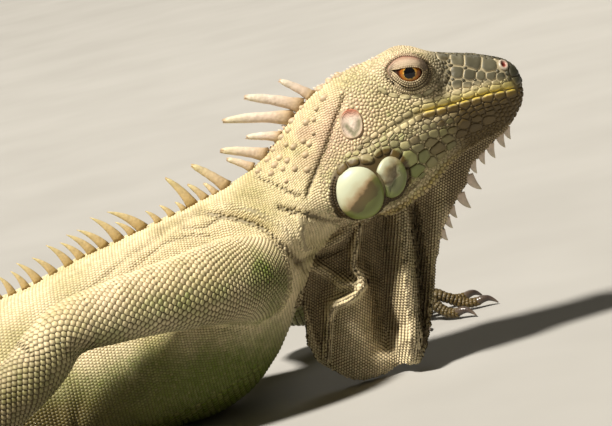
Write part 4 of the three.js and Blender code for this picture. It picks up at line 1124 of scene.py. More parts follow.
def cell_outlines(seeds, normals, lie, radii, fence, count=8, gap=0.07):
    """Cells round seeds: in each direction the nearest of the lines that share the way to the
    neighbours by their radii, fence points being met at their own place."""
    lie = laid(lie, normals)
    across = np.cross(normals, lie)
    others = np.concatenate([seeds, fence])
    weight = np.concatenate([radii, np.zeros(len(fence))])
    near = min(NEIGHBOURS, len(others) - 1)
    square = (others**2).sum(1)
    far = (seeds**2).sum(1)[:, None] + square[None] - 2 * seeds @ others.T
    far[np.arange(len(seeds)), np.arange(len(seeds))] = 1e9
    index = np.argpartition(far - weight[None] ** 2, near, axis=1)[:, :near]
    away = others[index] - seeds[:, None]
    a = np.einsum("nkc,nc->nk", away, lie)
    b = np.einsum("nkc,nc->nk", away, across)
    length = np.maximum(a * a + b * b, 1e-6)
    share = radii[:, None] / (radii[:, None] + weight[index])
    angle = 2 * np.pi * np.arange(count) / count
    way = a[..., None] * np.cos(angle) + b[..., None] * np.sin(angle)
    limit = np.where(way > 0.12 * np.sqrt(length)[..., None],
                     (length * share)[..., None] / np.maximum(way, 1e-6), 1e9)
    reach = np.minimum(limit.min(axis=1), 1.5 * radii[:, None]) - gap
    reach = np.maximum(reach, LEAST_CELL)
    return np.stack([reach * np.cos(angle), reach * np.sin(angle)], -1)


def head_grain(p):
    """Half the spacing of the head's small scales at places on it."""
    x, z = p[:, 0], p[:, 2]
    grain = np.full(len(p), 0.86)

    def towards(value, share):
        return grain + (value - grain) * np.clip(share, 0, 1)

    grain = towards(1.25, ease(x, 208, 224))
    grain = towards(1.05, ease(-z, -112, -98) * ease(x, 178, 190))
    grain = towards(1.15, ease(z, 147, 153))
    grain = towards(0.74, ease(-x, -172, -160))
    eye = np.hypot(x - 200.6, (z - 143.4) * 1.1)
    grain = towards(0.62, 1 - ease(eye, 11, 17))
    return grain


def outside(points, plates, margin):
    """Which points lie clear of every side-view plate by a margin."""
    clear = np.ones(len(points), bool)
    for x, z, a, b, turn, *_ in plates:
        angle = math.radians(turn)
        dx, dz = points[:, 0] - x, points[:, 2] - z
        along = (dx * math.cos(angle) + dz * math.sin(angle)) / (a + margin)
        high = (-dx * math.sin(angle) + dz * math.cos(angle)) / (b + margin)
        clear &= np.abs(along) ** 3 + np.abs(high) ** 3 > 1
    return clear


def lip_plates():
    """The rows of long plates that follow the mouth above and below."""
    rows = []
    for offset, long, high, rise, first, last in LIP_ROWS:
        x = first - long
        i = 0
        while x > last:
            grow = 1 + 0.12 * math.sin(2.3 * i + offset)
            slope = (mouth_height(x + 2) - mouth_height(x - 2)) / 4
            small = 1 - 0.35 * (x < 200)
            rows.append((x - offset * slope * 0.6, mouth_height(x) + offset, long * grow * small * 0.97,
                         high * small, math.degrees(math.atan(slope)), rise))
            x -= 2 * long * small * (1 + 0.06 * math.sin(2.3 * i + 1.2 + offset))
            i += 1
    return rows


def suborbital_plates():
    """The row of narrow plates under the eye."""
    rows = []
    for (x0, z0), (x1, z1) in zip(SUBORBITAL, SUBORBITAL[1:]):
        length = math.hypot(x1 - x0, z1 - z0)
        rows.append(((x0 + x1) / 2, (z0 + z1) / 2, length / 2 * 0.8, 0.95,
                     math.degrees(math.atan2(z1 - z0, x1 - x0)), 0.5))
    return rows


def gap_sign(points):
    """1 where the seams between scales are dark, down to -1 where they are pale, on the snout."""
    x, z = points[:, 0], points[:, 2]
    return 1 - 1.9 * ease(x, 211, 219) * ease(z, 125, 128) * (1 - ease(x, 246, 250))


# ---- eyes ----------------------------------------------------------------------------------------------
EYE_AT = (201.3, 15.9, 142.9)
EYE_RADIUS = 8.2
EYE_AXIS = (-0.11, 0.985, 0.06)
# The lids round the eye's middle: edge x, z and crease x, z, from the front corner over the top.
LIDS = [
    (5.1, -0.9, 8.4, 0.6), (4.6, 1.0, 7.4, 3.6), (3.1, 2.1, 4.2, 6.4), (0.3, 2.8, 0.0, 8.1),
    (-3.0, 3.1, -4.2, 8.2), (-6.2, 3.0, -7.6, 6.9), (-9.2, 2.9, -10.7, 3.8), (-7.0, 1.2, -10.0, -0.4),
    (-5.0, -1.8, -6.8, -4.0), (-2.2, -3.4, -2.6, -6.6), (0.9, -3.7, 1.9, -6.7), (3.7, -2.6, 6.2, -4.4),
]
LID_THICKNESS = 1.3
# Share of the way from the edge to the crease, on to the outer fold at 2, and height over the eyeball.
LID_PROFILE = [(0.0, -0.75), (0.02, -0.15), (0.07, 0.25), (0.16, 0.42), (0.3, 0.5), (0.5, 0.55), (0.7, 0.45),
               (0.84, 0.2), (0.94, -0.35), (1.0, -0.7), (1.06, -0.2), (1.16, 0.6), (1.3, 1.25), (1.5, 1.3),
               (1.75, 0.7), (2.0, -0.8)]


def lid_table(count):
    """The lids' edge and crease at evenly spaced turns: a closed Catmull-Rom curve through LIDS."""
    rows = np.array(LIDS, float)
    n = len(rows)
    place = np.arange(count) / count * n
    i = np.floor(place).astype(int)
    t = (place - i)[:, None]
    return catmull(rows[(i - 1) % n], rows[i % n], rows[(i + 1) % n], rows[(i + 2) % n], t)


def lid_outline(margin):
    """Side-view outline of the lids' outer rim, drawn in or out by a margin."""
    table = lid_table(48)
    crease = table[:, 2:]
    middle = crease.mean(axis=0)
    away = unit(crease - middle)
    out = crease + away * (np.interp(crease[:, 1:], [-4, 3], [2.6, 1.6]) + margin - 1.2)
    return [(EYE_AT[0] + a, EYE_AT[2] + b) for a, b in out]


def lid_surface(sign, skin, count=112):
    """Rings of the lids from the edge of the opening over the lid's dome and its crease to the fold
    round the eye, where they sink into the skin. Height is measured from the eyeball outwards."""
    table = lid_table(count)
    edge, crease = table[:, :2], table[:, 2:]
    middle = crease.mean(axis=0)
    size = np.linalg.norm(crease - middle, axis=1, keepdims=True)
    outer = crease + (crease - middle) / size * np.interp(crease[:, 1:], [-4, 3], [2.6, 1.6])
    start = np.stack([EYE_AT[0] + outer[:, 0], 0 * outer[:, 0] + sign * 19.0, EYE_AT[2] + outer[:, 1]], -1)
    rim, _ = settle(start, skin)
    middle = np.array([EYE_AT[0], sign * (EYE_AT[1] - 3), EYE_AT[2]])
    rings = []
    for share, rise in LID_PROFILE:
        flat = edge + (crease - edge) * min(share, 1)
        off = np.minimum(np.hypot(flat[:, 0], flat[:, 1]), EYE_RADIUS + 0.35)
        ball = EYE_AT[1] + np.sqrt((EYE_RADIUS + 0.5) ** 2 - off**2)
        dip = np.interp(crease[:, 1], [-4, 2], [0.3, 1.0]) if rise < 0 and share > 0.5 else 1.0
        ball = np.maximum(ball, EYE_AT[1] + 1.8) + (rise * dip if share <= 1 else -0.7 * dip)
        ring = np.stack([EYE_AT[0] + flat[:, 0], sign * ball, EYE_AT[2] + flat[:, 1]], -1)
        if share > 1:
            ring = ring + (rim - ring) * (share - 1)
            ring = ring + unit(ring - middle) * rise * np.interp(crease[:, 1:], [-2, 4], [1, 0.45])
        rings.append(ring)
    return np.array(rings)


# ---- materials ---------------------------------------------------------------------------------------------
def add(tree, kind, inputs=None, **settings):
    """A node with its settings, its inputs given as values or as sockets to link."""
    node = tree.nodes.new(kind)
    for key, value in settings.items():
        setattr(node, key, value)
    for key, value in (inputs or {}).items():
        if isinstance(value, bpy.types.NodeSocket):
            tree.links.new(value, node.inputs[key])
        else:
            node.inputs[key].default_value = value
    return node


def mix(tree, share, a, b, blend="MIX"):
    """Colour a turned towards b by a share."""
    return add(tree, "ShaderNodeMix", {0: share, 6: a, 7: b}, data_type="RGBA", blend_type=blend).outputs[2]


def maths(tree, operation, a, b=0.0):
    return add(tree, "ShaderNodeMath", {0: a, 1: b}, operation=operation).outputs[0]


def plus(tree, a, b):
    return maths(tree, "ADD", a, b)


def times(tree, a, b):
    return maths(tree, "MULTIPLY", a, b)


def ramp(tree, value, stops):
    """A colour for a value, from stops of place and colour."""
    node = add(tree, "ShaderNodeValToRGB", {0: value})
    points = node.color_ramp.elements
    while len(points) > 1:
        points.remove(points[-1])
    points[0].position = stops[0][0]
    points[0].color = (*stops[0][1], 1)
    for place, tint in stops[1:]:
        points.new(place).color = (*tint, 1)
    return node.outputs[0]


def spread(tree, value, low, high):
    """0 to 1 as the value runs from low to high."""
    return add(tree, "ShaderNodeMapRange", {0: value, 1: low, 2: high}).outputs[0]


def dimmed(tree, tint, level):
    """A colour multiplied by a grey level."""
    grey = add(tree, "ShaderNodeCombineColor", {0: level, 1: level, 2: level}).outputs[0]
    return mix(tree, 1.0, tint, grey, "MULTIPLY")


def object_place(tree):
    return add(tree, "ShaderNodeTexCoord").outputs["Object"]


def noise_of(tree, scale, detail=2.0):
    """Noise over the piece's own coordinates."""
    return add(tree, "ShaderNodeTexNoise", {"Vector": object_place(tree), "Scale": scale,
                                            "Detail": detail}).outputs[0]


def split(tree, vector):
    return add(tree, "ShaderNodeSeparateXYZ", {0: vector}).outputs


def attribute(tree, name, output="Fac"):
    return add(tree, "ShaderNodeAttribute", attribute_name=name, attribute_type="GEOMETRY").outputs[output]


def new_material(name, roughness=0.5):
    """A material of this name, with its node tree and shader."""
    material = bpy.data.materials.new(name)
    material.use_nodes = True
    tree = material.node_tree
    shader = tree.nodes["Principled BSDF"]
    shader.inputs["Roughness"].default_value = roughness
    return tree, shader


def pitted(tree, shader, height, strength, distance):
    """Fine relief of the surface."""
    bump = add(tree, "ShaderNodeBump", {"Height": height, "Strength": strength, "Distance": distance})
    tree.links.new(bump.outputs[0], shader.inputs["Normal"])


def markings_group(colours):
    """Hide markings: the colour, roughness and height of the hide from its shares of each colour,
    the tone of the scale and how near a seam the place is (negative where seams are pale)."""
    tree = bpy.data.node_groups.new("Hide markings", "ShaderNodeTree")
    face = tree.interface
    for name in ("Zone A", "Zone B"):
        face.new_socket(name, in_out="INPUT", socket_type="NodeSocketVector")
    for name, value in (("Tone", 1.0), ("Edge", 0.0)):
        face.new_socket(name, in_out="INPUT", socket_type="NodeSocketFloat").default_value = value
    for name in ("cream", "olive", "green", "dun", "slate", "gold", "band", "blush", "gap"):
        socket = face.new_socket(name.title(), in_out="INPUT", socket_type="NodeSocketColor")
        socket.default_value = (*getattr(colours, name), 1)
    face.new_socket("Color", in_out="OUTPUT", socket_type="NodeSocketColor")
    face.new_socket("Roughness", in_out="OUTPUT", socket_type="NodeSocketFloat")
    face.new_socket("Height", in_out="OUTPUT", socket_type="NodeSocketFloat")
    given = tree.nodes.new("NodeGroupInput").outputs
    made = tree.nodes.new("NodeGroupOutput").inputs
    fine, grit = noise_of(tree, 420.0), noise_of(tree, 2600.0)
    a, b = split(tree, given["Zone A"]), split(tree, given["Zone B"])
    blotch = times(tree, spread(tree, noise_of(tree, 32.0, 3.0), 0.42, 0.66), 0.75)
    tint = mix(tree, blotch, given["Cream"], given["Olive"])
    for share, name in ((a[0], "Green"), (a[1], "Dun"), (b[2], "Blush"), (a[2], "Slate"), (b[0], "Gold"),
                        (b[1], "Band")):
        tint = mix(tree, share, tint, given[name])
    tint = dimmed(tree, tint, plus(tree, times(tree, given["Tone"], spread(tree, fine, -0.75, 1.55)), 0.5))
    dark, pale = spread(tree, given["Edge"], 0.12, 0.85), spread(tree, given["Edge"], -0.12, -0.85)
    tint = mix(tree, times(tree, dark, 0.9), tint, given["Gap"])
    tint = mix(tree, times(tree, pale, 0.85), tint, given["Cream"])
    rough = plus(tree, times(tree, grit, 0.22), plus(tree, times(tree, dark, 0.2), 0.38))
    tree.links.new(tint, made["Color"])
    tree.links.new(rough, made["Roughness"])
    tree.links.new(plus(tree, grit, times(tree, fine, 1.5)), made["Height"])
    return tree


def make_materials(colours):
    """All materials of the model."""
    hide_material(markings_group(colours))
    spine_material()
    graded("claw", [(0, (0.09, 0.065, 0.045)), (0.5, (0.05, 0.035, 0.03)), (1, (0.16, 0.12, 0.09))],
           0.28, 500, 0.2)
    lid_material()
    drum_material()
    # The nostril's near-black middle is painted shade for the depth of its opening.
    graded("nostril", [(0, (0.34, 0.29, 0.21)), (0.3, (0.46, 0.39, 0.31)), (0.5, (0.40, 0.25, 0.20)),
                       (0.68, (0.20, 0.03, 0.02)), (1, (0.04, 0.008, 0.006))], 0.35, 800, 0.12)
    shield_material()
    eye_material()
    floor_material()


def hide_material(marks):
    """Skin and scales: the markings from the attributes that the meshes carry."""
    tree, shader = new_material("scaled_hide")
    group = add(tree, "ShaderNodeGroup", node_tree=marks)
    for socket, output in (("Zone A", "Vector"), ("Zone B", "Vector"), ("Tone", "Fac"), ("Edge", "Fac")):
        name = socket.lower().replace(" ", "_")
        tree.links.new(attribute(tree, name, output), group.inputs[socket])
    tree.links.new(group.outputs["Color"], shader.inputs["Base Color"])
    tree.links.new(group.outputs["Roughness"], shader.inputs["Roughness"])
    pitted(tree, shader, group.outputs["Height"], 0.35, 0.00018)
    shader.inputs["Specular IOR Level"].default_value = 0.42


def graded(name, stops, roughness, size, depth, ringed=0.25):
    """A material whose colour runs along the share, mottled by fine noise, pitted and ringed."""
    tree, shader = new_material(name, roughness)
    cloud = noise_of(tree, float(size), 4.0)
    grain = add(tree, "ShaderNodeTexVoronoi", {"Vector": object_place(tree),
                                               "Scale": float(size) * 1.4}).outputs[0]
    tint = ramp(tree, attribute(tree, "share"), stops)
    tint = dimmed(tree, tint, plus(tree, times(tree, spread(tree, cloud, 0.0, 1.0), 0.6), 0.7))
    waves = maths(tree, "SINE", times(tree, attribute(tree, "share"), 70.0))
    height = plus(tree, plus(tree, cloud, times(tree, grain, 0.6)), times(tree, waves, ringed))
    tree.links.new(tint, shader.inputs["Base Color"])
    pitted(tree, shader, height, depth, 0.0003)
    return tree, shader, tint


def spine_material():
    """Horn of the spines, paler towards the tip, and more yellow behind the nape."""
    tree, shader, horn = graded("spine", [
        (0, (0.36, 0.24, 0.12)), (0.12, (0.46, 0.34, 0.21)), (0.3, (0.60, 0.47, 0.36)),
        (0.6, (0.66, 0.55, 0.45)), (0.93, (0.64, 0.57, 0.44)), (1, (0.42, 0.30, 0.20))],
        0.55, 500, 0.6, ringed=0.03)
    nape = spread(tree, split(tree, object_place(tree))[0], 0.085, 0.125)
    yellow = mix(tree, 1.0, horn, (0.84, 0.80, 0.50, 1), "MULTIPLY")
    tree.links.new(mix(tree, nape, yellow, horn), shader.inputs["Base Color"])


def lid_material():
    """The lids from edge to fold, the lower one browner, with painted shade in the crease between lid and
    fold and on the streaked corner ahead of the eye.
    """
    # The dark stops about 0.49 lie in the crease between lid and fold: painted shade.
    tree, shader, lid = graded("lid", [
        (0, (0.08, 0.04, 0.02)), (0.04, (0.14, 0.095, 0.05)), (0.12, (0.34, 0.26, 0.17)),
        (0.32, (0.40, 0.30, 0.21)), (0.44, (0.33, 0.20, 0.13)), (0.49, (0.12, 0.035, 0.02)),
        (0.53, (0.20, 0.12, 0.06)), (0.62, (0.34, 0.29, 0.16)), (1, (0.38, 0.33, 0.18))], 0.65, 1300, 0.9)
    under = ramp(tree, attribute(tree, "share"), [
        (0, (0.08, 0.04, 0.015)), (0.04, (0.20, 0.14, 0.07)), (0.10, (0.26, 0.20, 0.12)),
        (0.2, (0.13, 0.09, 0.05)), (0.42, (0.09, 0.06, 0.03)), (0.5, (0.07, 0.045, 0.02)),
        (0.58, (0.20, 0.15, 0.08)), (0.75, (0.10, 0.07, 0.035)), (0.85, (0.24, 0.19, 0.11)),
        (1, (0.30, 0.25, 0.14))])
    lid = mix(tree, attribute(tree, "under"), lid, under)
    # Painted shade: the corner ahead of the eye is darkened and streaked.
    corner = ramp(tree, noise_of(tree, 1100.0, 3.0), [
        (0.3, (0.05, 0.03, 0.015)), (0.52, (0.12, 0.085, 0.05)), (0.7, (0.26, 0.21, 0.13))])
    lid = mix(tree, times(tree, attribute(tree, "fore"), 0.85), lid, corner)
    tree.links.new(lid, shader.inputs["Base Color"])


def drum_material():
    """Pale ear drum with an olive vee across it and a red flush at its top."""
    tree, shader, drum = graded("drum", [
        (0, (0.30, 0.20, 0.12)), (0.1, (0.46, 0.35, 0.24)), (0.3, (0.58, 0.46, 0.37)),
        (1, (0.62, 0.53, 0.44))], 0.9, 620, 1.0)
    shader.inputs["Specular IOR Level"].default_value = 0.2
    vee = spread(tree, attribute(tree, "vee"), 1.9, 0.4)
    drum = mix(tree, times(tree, vee, 0.9), drum, (0.19, 0.18, 0.11, 1))
    flush = spread(tree, split(tree, attribute(tree, "local", "Vector"))[1], 0.45, 1.0)
    drum = mix(tree, times(tree, flush, 0.85), drum, (0.42, 0.12, 0.07, 1))
    tree.links.new(drum, shader.inputs["Base Color"])


def shield_material():
    """Pale greenish plate, brown below a slanting edge, with a greener rim: the brown is partly its own
    blotch, and the pale top and the dark band under the edge are painted light and painted shade across its
    curve.
    """
    tree, shader = new_material("jowl_plate", 0.42)
    cloud = noise_of(tree, 190.0, 4.0)
    local = attribute(tree, "local", "Vector")
    ahead, up, _ = split(tree, local)
    away = add(tree, "ShaderNodeVectorMath", {0: local}, operation="LENGTH").outputs["Value"]
    # low grows from the upper rear of the plate to its lower front: painted light on the pale top, painted
    # shade in the dark band past the slanting edge.
    low = maths(tree, "SUBTRACT", times(tree, ahead, 0.55), times(tree, up, 0.85))
    low = plus(tree, plus(tree, low, times(tree, cloud, 0.5)), 0.25)
    tint = ramp(tree, low, [
        (0.0, (0.52, 0.55, 0.40)), (0.28, (0.50, 0.48, 0.32)), (0.42, (0.40, 0.31, 0.18)),
        (0.53, (0.29, 0.20, 0.10)), (0.60, (0.11, 0.075, 0.03)), (0.95, (0.12, 0.10, 0.03)),
        (1.2, (0.16, 0.18, 0.045))])
    # The fore plate: the same painted light and shade, duller.
    dull = ramp(tree, plus(tree, low, times(tree, cloud, 0.8)), [
        (0.2, (0.42, 0.43, 0.30)), (0.5, (0.30, 0.25, 0.14)), (0.75, (0.12, 0.09, 0.04)),
        (1.0, (0.22, 0.22, 0.12)), (1.3, (0.13, 0.14, 0.06))])
    tint = mix(tree, attribute(tree, "fore"), tint, dull)
    away = plus(tree, away, times(tree, cloud, 0.22))
    rim = times(tree, spread(tree, away, 0.80, 1.0), spread(tree, low, 0.15, 0.75))
    tint = mix(tree, times(tree, rim, 0.85), tint, (0.20, 0.24, 0.06, 1))
    tree.links.new(tint, shader.inputs["Base Color"])
    pitted(tree, shader, cloud, 0.2, 0.0008)


def eye_material():
    """Black pupil, yellow inner ring, streaked orange iris and a dark rim, by distance from the axis."""
    tree, shader = new_material("eyeball", 0.05)
    streak = noise_of(tree, 900.0, 4.0)
    at = plus(tree, attribute(tree, "gaze"), times(tree, maths(tree, "SUBTRACT", streak, 0.5), 0.12))
    tint = ramp(tree, at, [
        (0.30, (0.004, 0.004, 0.005)), (0.33, (0.42, 0.25, 0.06)), (0.37, (0.46, 0.24, 0.04)),
        (0.42, (0.34, 0.12, 0.015)), (0.54, (0.27, 0.085, 0.012)), (0.64, (0.13, 0.035, 0.008)),
        (0.74, (0.04, 0.012, 0.006)), (1.0, (0.03, 0.015, 0.01))])
    tint = dimmed(tree, tint, plus(tree, times(tree, spread(tree, streak, 0.3, 0.62), 0.9), 0.45))
    tree.links.new(tint, shader.inputs["Base Color"])
    for socket, value in (("Specular IOR Level", 0.2), ("Coat Weight", 0.3), ("Coat Roughness", 0.02)):
        shader.inputs[socket].default_value = value


def floor_material():
    """Pale grey, slightly uneven."""
    tree, shader = new_material("floor", 0.85)
    tint = ramp(tree, noise_of(tree, 9.0), [(0.3, (0.33, 0.322, 0.305)), (0.7, (0.36, 0.352, 0.335))])
    tree.links.new(tint, shader.inputs["Base Color"])


# ---- operators ---------------------------------------------------------------------------------------------
def the_skin():
    skin = bpy.data.objects.get("skin")
    if skin is None:
        raise RuntimeError("Build the hide before what lies on it")
    return skin


class PieceOperator(bpy.types.Operator):
    """Common frame of the operators: build() makes the pieces and raises if it can't."""
    bl_options = {"REGISTER", "UNDO"}

    def execute(self, context):
        self.build(context)
        return {"FINISHED"}


def flesh_parts():
    """Closed tubes of the body, limbs and digits and the closed sheet of the fan."""
    q = np.concatenate([np.arange(253, 100, -1.6), np.arange(100, TAIL_START, -3.0),
                        np.linspace(TAIL_START, TAIL_END, 170)])
    body_turns, limb_turns, digit_turns = (np.arange(around)[None] / around for around in (96, 40, 20))
    parts = [closed_tube(body_surface(q[:, None], body_turns))]
    for leg in LEGS.values():
        frames = limb_frames(leg["path"])
        run = np.linspace(0, frames["run"][-1], 90)
        parts.append(closed_tube(limb_surface(frames, run[:, None], limb_turns)))
        for path in digit_paths(leg)[0]:
            frames = limb_frames(path, DIGIT_STEPS)
            run = np.linspace(0, frames["run"][-1], 26)
            parts.append(closed_tube(limb_surface(frames, run[:, None], digit_turns, -DIGIT_COAT)))
    u, v = np.meshgrid(np.linspace(0, 1, 170), np.linspace(0, 1, 60), indexing="ij")
    parts.append(closed_tube(np.concatenate([fan_point(u, v, -1), fan_point(u, v, 1)[:, ::-1]], axis=1)))
    return parts


def modelled(points, normals):
    """The knitted skin with its folds: raised and sunk along its normals by lines on both sides,
    a rim round each eye, a socket behind each eyeball, and slight unevenness."""
    p = points.copy()
    x, z = p[:, 0], p[:, 2]
    facing = np.abs(normals[:, 1])
    near = ease(x, 20, 45) * (1 - ease(x, 170, 182)) * facing
    rise = np.zeros(len(p))
    some = near > 0
    rise[some] = folded(x[some], z[some], SKIN_FOLDS) * (near * ease(np.abs(p[:, 1]), 6, 12))[some]
    flank = ease(x, -170, -120) * (1 - ease(x, 40, 90)) * facing * (1 - ease(z, 45, 60))
    rise = rise + 0.7 * flank * np.sin(x / 3.4 + 1.2 * noise(p, 18, 8) * 3)
    rise = rise + 0.35 * noise(p, 9, 6) * (1 - ease(z, 160, 170)) \
        + 0.5 * noise(p, 24, 7) * ease(x, -900, -200)
    rise = rise + 1.3 * bell(line_distance(x, z, JAW_RIM), 2.0) * facing
    some = x > 176
    rise[some] += folded(x[some], z[some], HEAD_FOLDS) * (facing * ease(x, 176, 184))[some]
    lips = bell(line_distance(x, z, MOUTH), 1.3) * ease(x, 160, 172)
    rise = rise - 0.9 * lips
    sheet = on_fan(p) * (line_distance(x, z, DEWLAP_LOWER) > 2.2)
    side = np.where(p[:, 1] > fan_carried(x, z), 1.0, -1.0)
    p[:, 1] += (fan_sheet(x, z, side)[:, 1] - p[:, 1]) * sheet
    p = p + normals * (rise * (1 - sheet))[:, None]
    for cx, cz, a, b, out in SHIELD_BULGES:
        bulge = (1 - ease(np.hypot((x - cx) / a, (z - cz) / b), 1.0, 1.34)) * ease(np.abs(p[:, 1]), 6, 12)
        p[:, 1] += np.sign(p[:, 1]) * np.maximum(out - np.abs(p[:, 1]), 0) * bulge
    away = np.hypot(x - EYE_AT[0] + 0.6, (z - EYE_AT[2] - 0.4) * 1.08)
    head = ease(x, 176, 184) * ease(np.abs(p[:, 1]), 4, 8)
    ring = head * bell(away - 12.2, 4.2) * (1.6 + 1.4 * ease(z, 143, 152))
    p[:, 1] += np.sign(p[:, 1]) * ring
    hole = head * (1 - ease(away, 9.0, 11.4)) * (x > 180)
    deep = np.minimum(np.abs(p[:, 1]), EYE_AT[1] + 1.2)
    p[:, 1] = np.sign(p[:, 1]) * (np.abs(p[:, 1]) * (1 - hole) + deep * hole)
    p[:, 2] = np.maximum(p[:, 2], 0.45)
    return p


class IGUANA_OT_skin(PieceOperator):
    """Build the skin that stands for the head, neck, trunk, tail, fan and legs"""
    bl_idname = "iguana.skin"
    bl_label = "Skin"

    def build(self, context):
        make_materials(context.scene.iguana_colours)
        form = make_mesh("skin_form", *joined(flesh_parts()))
        knit = form.modifiers.new("knit", "REMESH")
        knit.mode = "VOXEL"
        knit.voxel_size = context.scene.iguana_sizes.voxel
        ease_out = form.modifiers.new("ease", "SMOOTH")
        ease_out.factor = 0.5
        ease_out.iterations = 3
        final = form.evaluated_get(context.evaluated_depsgraph_get())
        mesh = final.to_mesh()
        points = modelled(places_of(mesh), read(mesh.vertex_normals, "vector").astype(float))
        quads = read(mesh.loops, "vertex_index", 1, np.int32).reshape(-1, 4)
        final.to_mesh_clear()
        bpy.data.meshes.remove(form.data)
        skin = make_mesh("skin", points, quads)
        limb, fan = on_limb(points), on_fan(points)
        one, two = zones(points, limb, fan)
        put_attribute(skin.data, "zone_a", one, "FLOAT_VECTOR")
        put_attribute(skin.data, "zone_b", two, "FLOAT_VECTOR")
        put_attribute(skin.data, "tone", np.ones(len(points)))
        put_attribute(skin.data, "edge", (0.55 + 0.25 * limb + 0.4 * fan) * gap_sign(points))
        skin.data.materials.append(bpy.data.materials["scaled_hide"])
        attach(skin, "root")
        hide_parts(*FLESH)


def on_fan(points):
    """1 on the thin fan under the throat, 0 elsewhere."""
    x, y, z = points.T
    top = np.interp(x, [118, 131, 137, 148, 156, 172, 188, 200, 211, 218, 227, 235, 244],
                    [45, 56, 66, 75, 77, 77, 81, 87, 95.6, 99.7, 103, 104.6, 109])
    room = np.interp(x, [118, 134, 142], [14, 14, 26])
    return (np.abs(y) < room) * (1 - ease(z - top, -4, 1)) * ease(x, 118, 128)


def on_limb(points):
    """1 on the legs, 0 on the body: by distance from the limbs' middle lines."""
    share = np.zeros(len(points))
    for leg in LEGS.values():
        stations = np.array([s[:3] + (s[3],) for s in leg["path"][1:]])
        for (ax, ay, az, aw), (bx, by, bz, bw) in zip(stations[:-1], stations[1:]):
            a, b = np.array([ax, ay, az]), np.array([bx, by, bz])
            t = np.clip((points - a) @ (b - a) / ((b - a) @ (b - a)), 0, 1)[:, None]
            away = np.linalg.norm(points - a - t * (b - a), axis=1)
            share = np.maximum(share, 1 - ease(away / (aw + (bw - aw) * t[:, 0]), 1.15, 1.5))
    return np.maximum(share, (np.abs(points[:, 1]) > 75) * (points[:, 0] > -200))


NECK_START, NECK_END = 174, 100.5  # first and last row of the neck's scales, as places along the body


class IGUANA_OT_trunk_scales(PieceOperator):
    """Lay upright rows of small scales over the neck and trunk, larger ones under the belly"""
    bl_idname = "iguana.trunk_scales"
    bl_label = "Trunk scales"

    def build(self, context):
        skin, sizes = the_skin(), context.scene.iguana_sizes

        def step(q):
            return sizes.back_row / MM * (0.66 + 0.34 * float(ease(-q, -90, 70)))

        def wide(q):
            return sizes.back_scale / MM * (0.66 + 0.34 * float(ease(-q, -90, 70)))

        for side, low, high in (("right", 0.5, 1.0), ("left", 0.0, 0.5)):
            neck = clad(body_surface, stepped(NECK_START, NECK_END, step), wide, step, skin, 0.42, low, high,
                        lift=0.6, seed=2, reach=4.5, keep=behind_groove)
            lay([neck], f"neck_scales_{side}", shrink=0.8)
        belly_row, belly_scale = same(2.7), same(2.9)
        for side, back_turns, belly_turns in (("right", (0.64, 1.0), (0.5, 0.64)),
                                              ("left", (0.0, 0.36), (0.36, 0.5))):
            for part, start, stop in (("front", NECK_END, -20), ("rear", -20, TAIL_START + 1)):
                back = clad(body_surface, stepped(start, stop, step), wide, step, skin, 0.45, *back_turns,
                            lift=0.7, seed=3, reach=3.2)
                under = clad(body_surface, stepped(start, stop, belly_row), belly_scale, belly_row, skin, 0.6,
                             *belly_turns, seed=4)
                lay([back, under], f"trunk_{part}_scales_{side}", shrink=0.8)


def same(size):
    """A size that is the same all along."""
    return lambda along: size


def behind_groove(points):
    """Which places lie behind the groove that parts the neck from the cheek, and off the fan."""
    x, z = points[:, 0], points[:, 2]
    groove = np.interp(z, [60, 76, 84, 92, 101, 108, 117.4, 124, 133, 150],
                       [150, 150, 149, 148, 147, 149, 153.8, 158, 164, 172])
    return (x < groove) & (on_fan(points) < 0.5)


class IGUANA_OT_tail_scales(PieceOperator):
    """Lay keeled scales in rings round the tail, smaller towards its tip"""
    bl_idname = "iguana.tail_scales"
    bl_label = "Tail scales"

    def build(self, context):
        skin, half_way = the_skin(), -520.0

        def step(q):
            return 3.0 - 1.1 * float(ease(-q, 500, 1000))

        def wide(q):
            return 2.5 - 1.0 * float(ease(-q, 400, 1000))

        for name, start, stop in (("front", TAIL_START, half_way), ("rear", half_way, TAIL_END + 2)):
            batch = clad(body_surface, stepped(start, stop, step), wide, step, skin, 0.75, lift=1.1, seed=6,
                         reach=1.6)
            lay([batch], f"tail_scales_{name}")


class IGUANA_OT_leg_scales(PieceOperator):
    """Lay lozenge scales along each leg and small ones along its digits"""
    bl_idname = "iguana.leg_scales"
    bl_label = "Leg scales"

    def build(self, context):
        skin, sizes = the_skin(), context.scene.iguana_sizes
        row, wide = sizes.limb_row / MM, sizes.limb_scale / MM
        digit_row, digit_scale = same(2.1), same(2.2)
        for key, leg in LEGS.items():
            frames = limb_frames(leg["path"])
            end = frames["run"][-1]

            def fine(along):
                return (0.62 + 0.38 * float(ease(along, 18, 52))) \
                    * (1 - 0.3 * float(ease(along / end, 0.62, 0.92)))

            def width(along):
                return wide * fine(along)

            def step(along):
                return row * fine(along)

            batches = [clad(partial(limb_surface, frames), stepped(6, end - 1, step), width, step, skin, 0.8,
                            limb=1.0, lift=1.0, seed=8, uv_box=(0, 1, 0, 0.6), way=1.0,
                            reach=2.4, dark=1.25)]
            for i, path in enumerate(digit_paths(leg)[0]):
                digit = limb_frames(path, DIGIT_STEPS)
                stops = stepped(4, digit["run"][-1] - 0.5, digit_row)
                surface = partial(limb_surface, digit, grow=-DIGIT_COAT)
                batches.append(clad(surface, stops, digit_scale, digit_row, skin, 0.6, limb=1.0, lift=0.9,
                                    seed=9, uv_box=(0, 1, 0.62 + 0.075 * i, 0.68 + 0.075 * i), way=1.0,
                                    reach=1.2))
            lay(batches, f"{key}_scales", shrink=0.84)


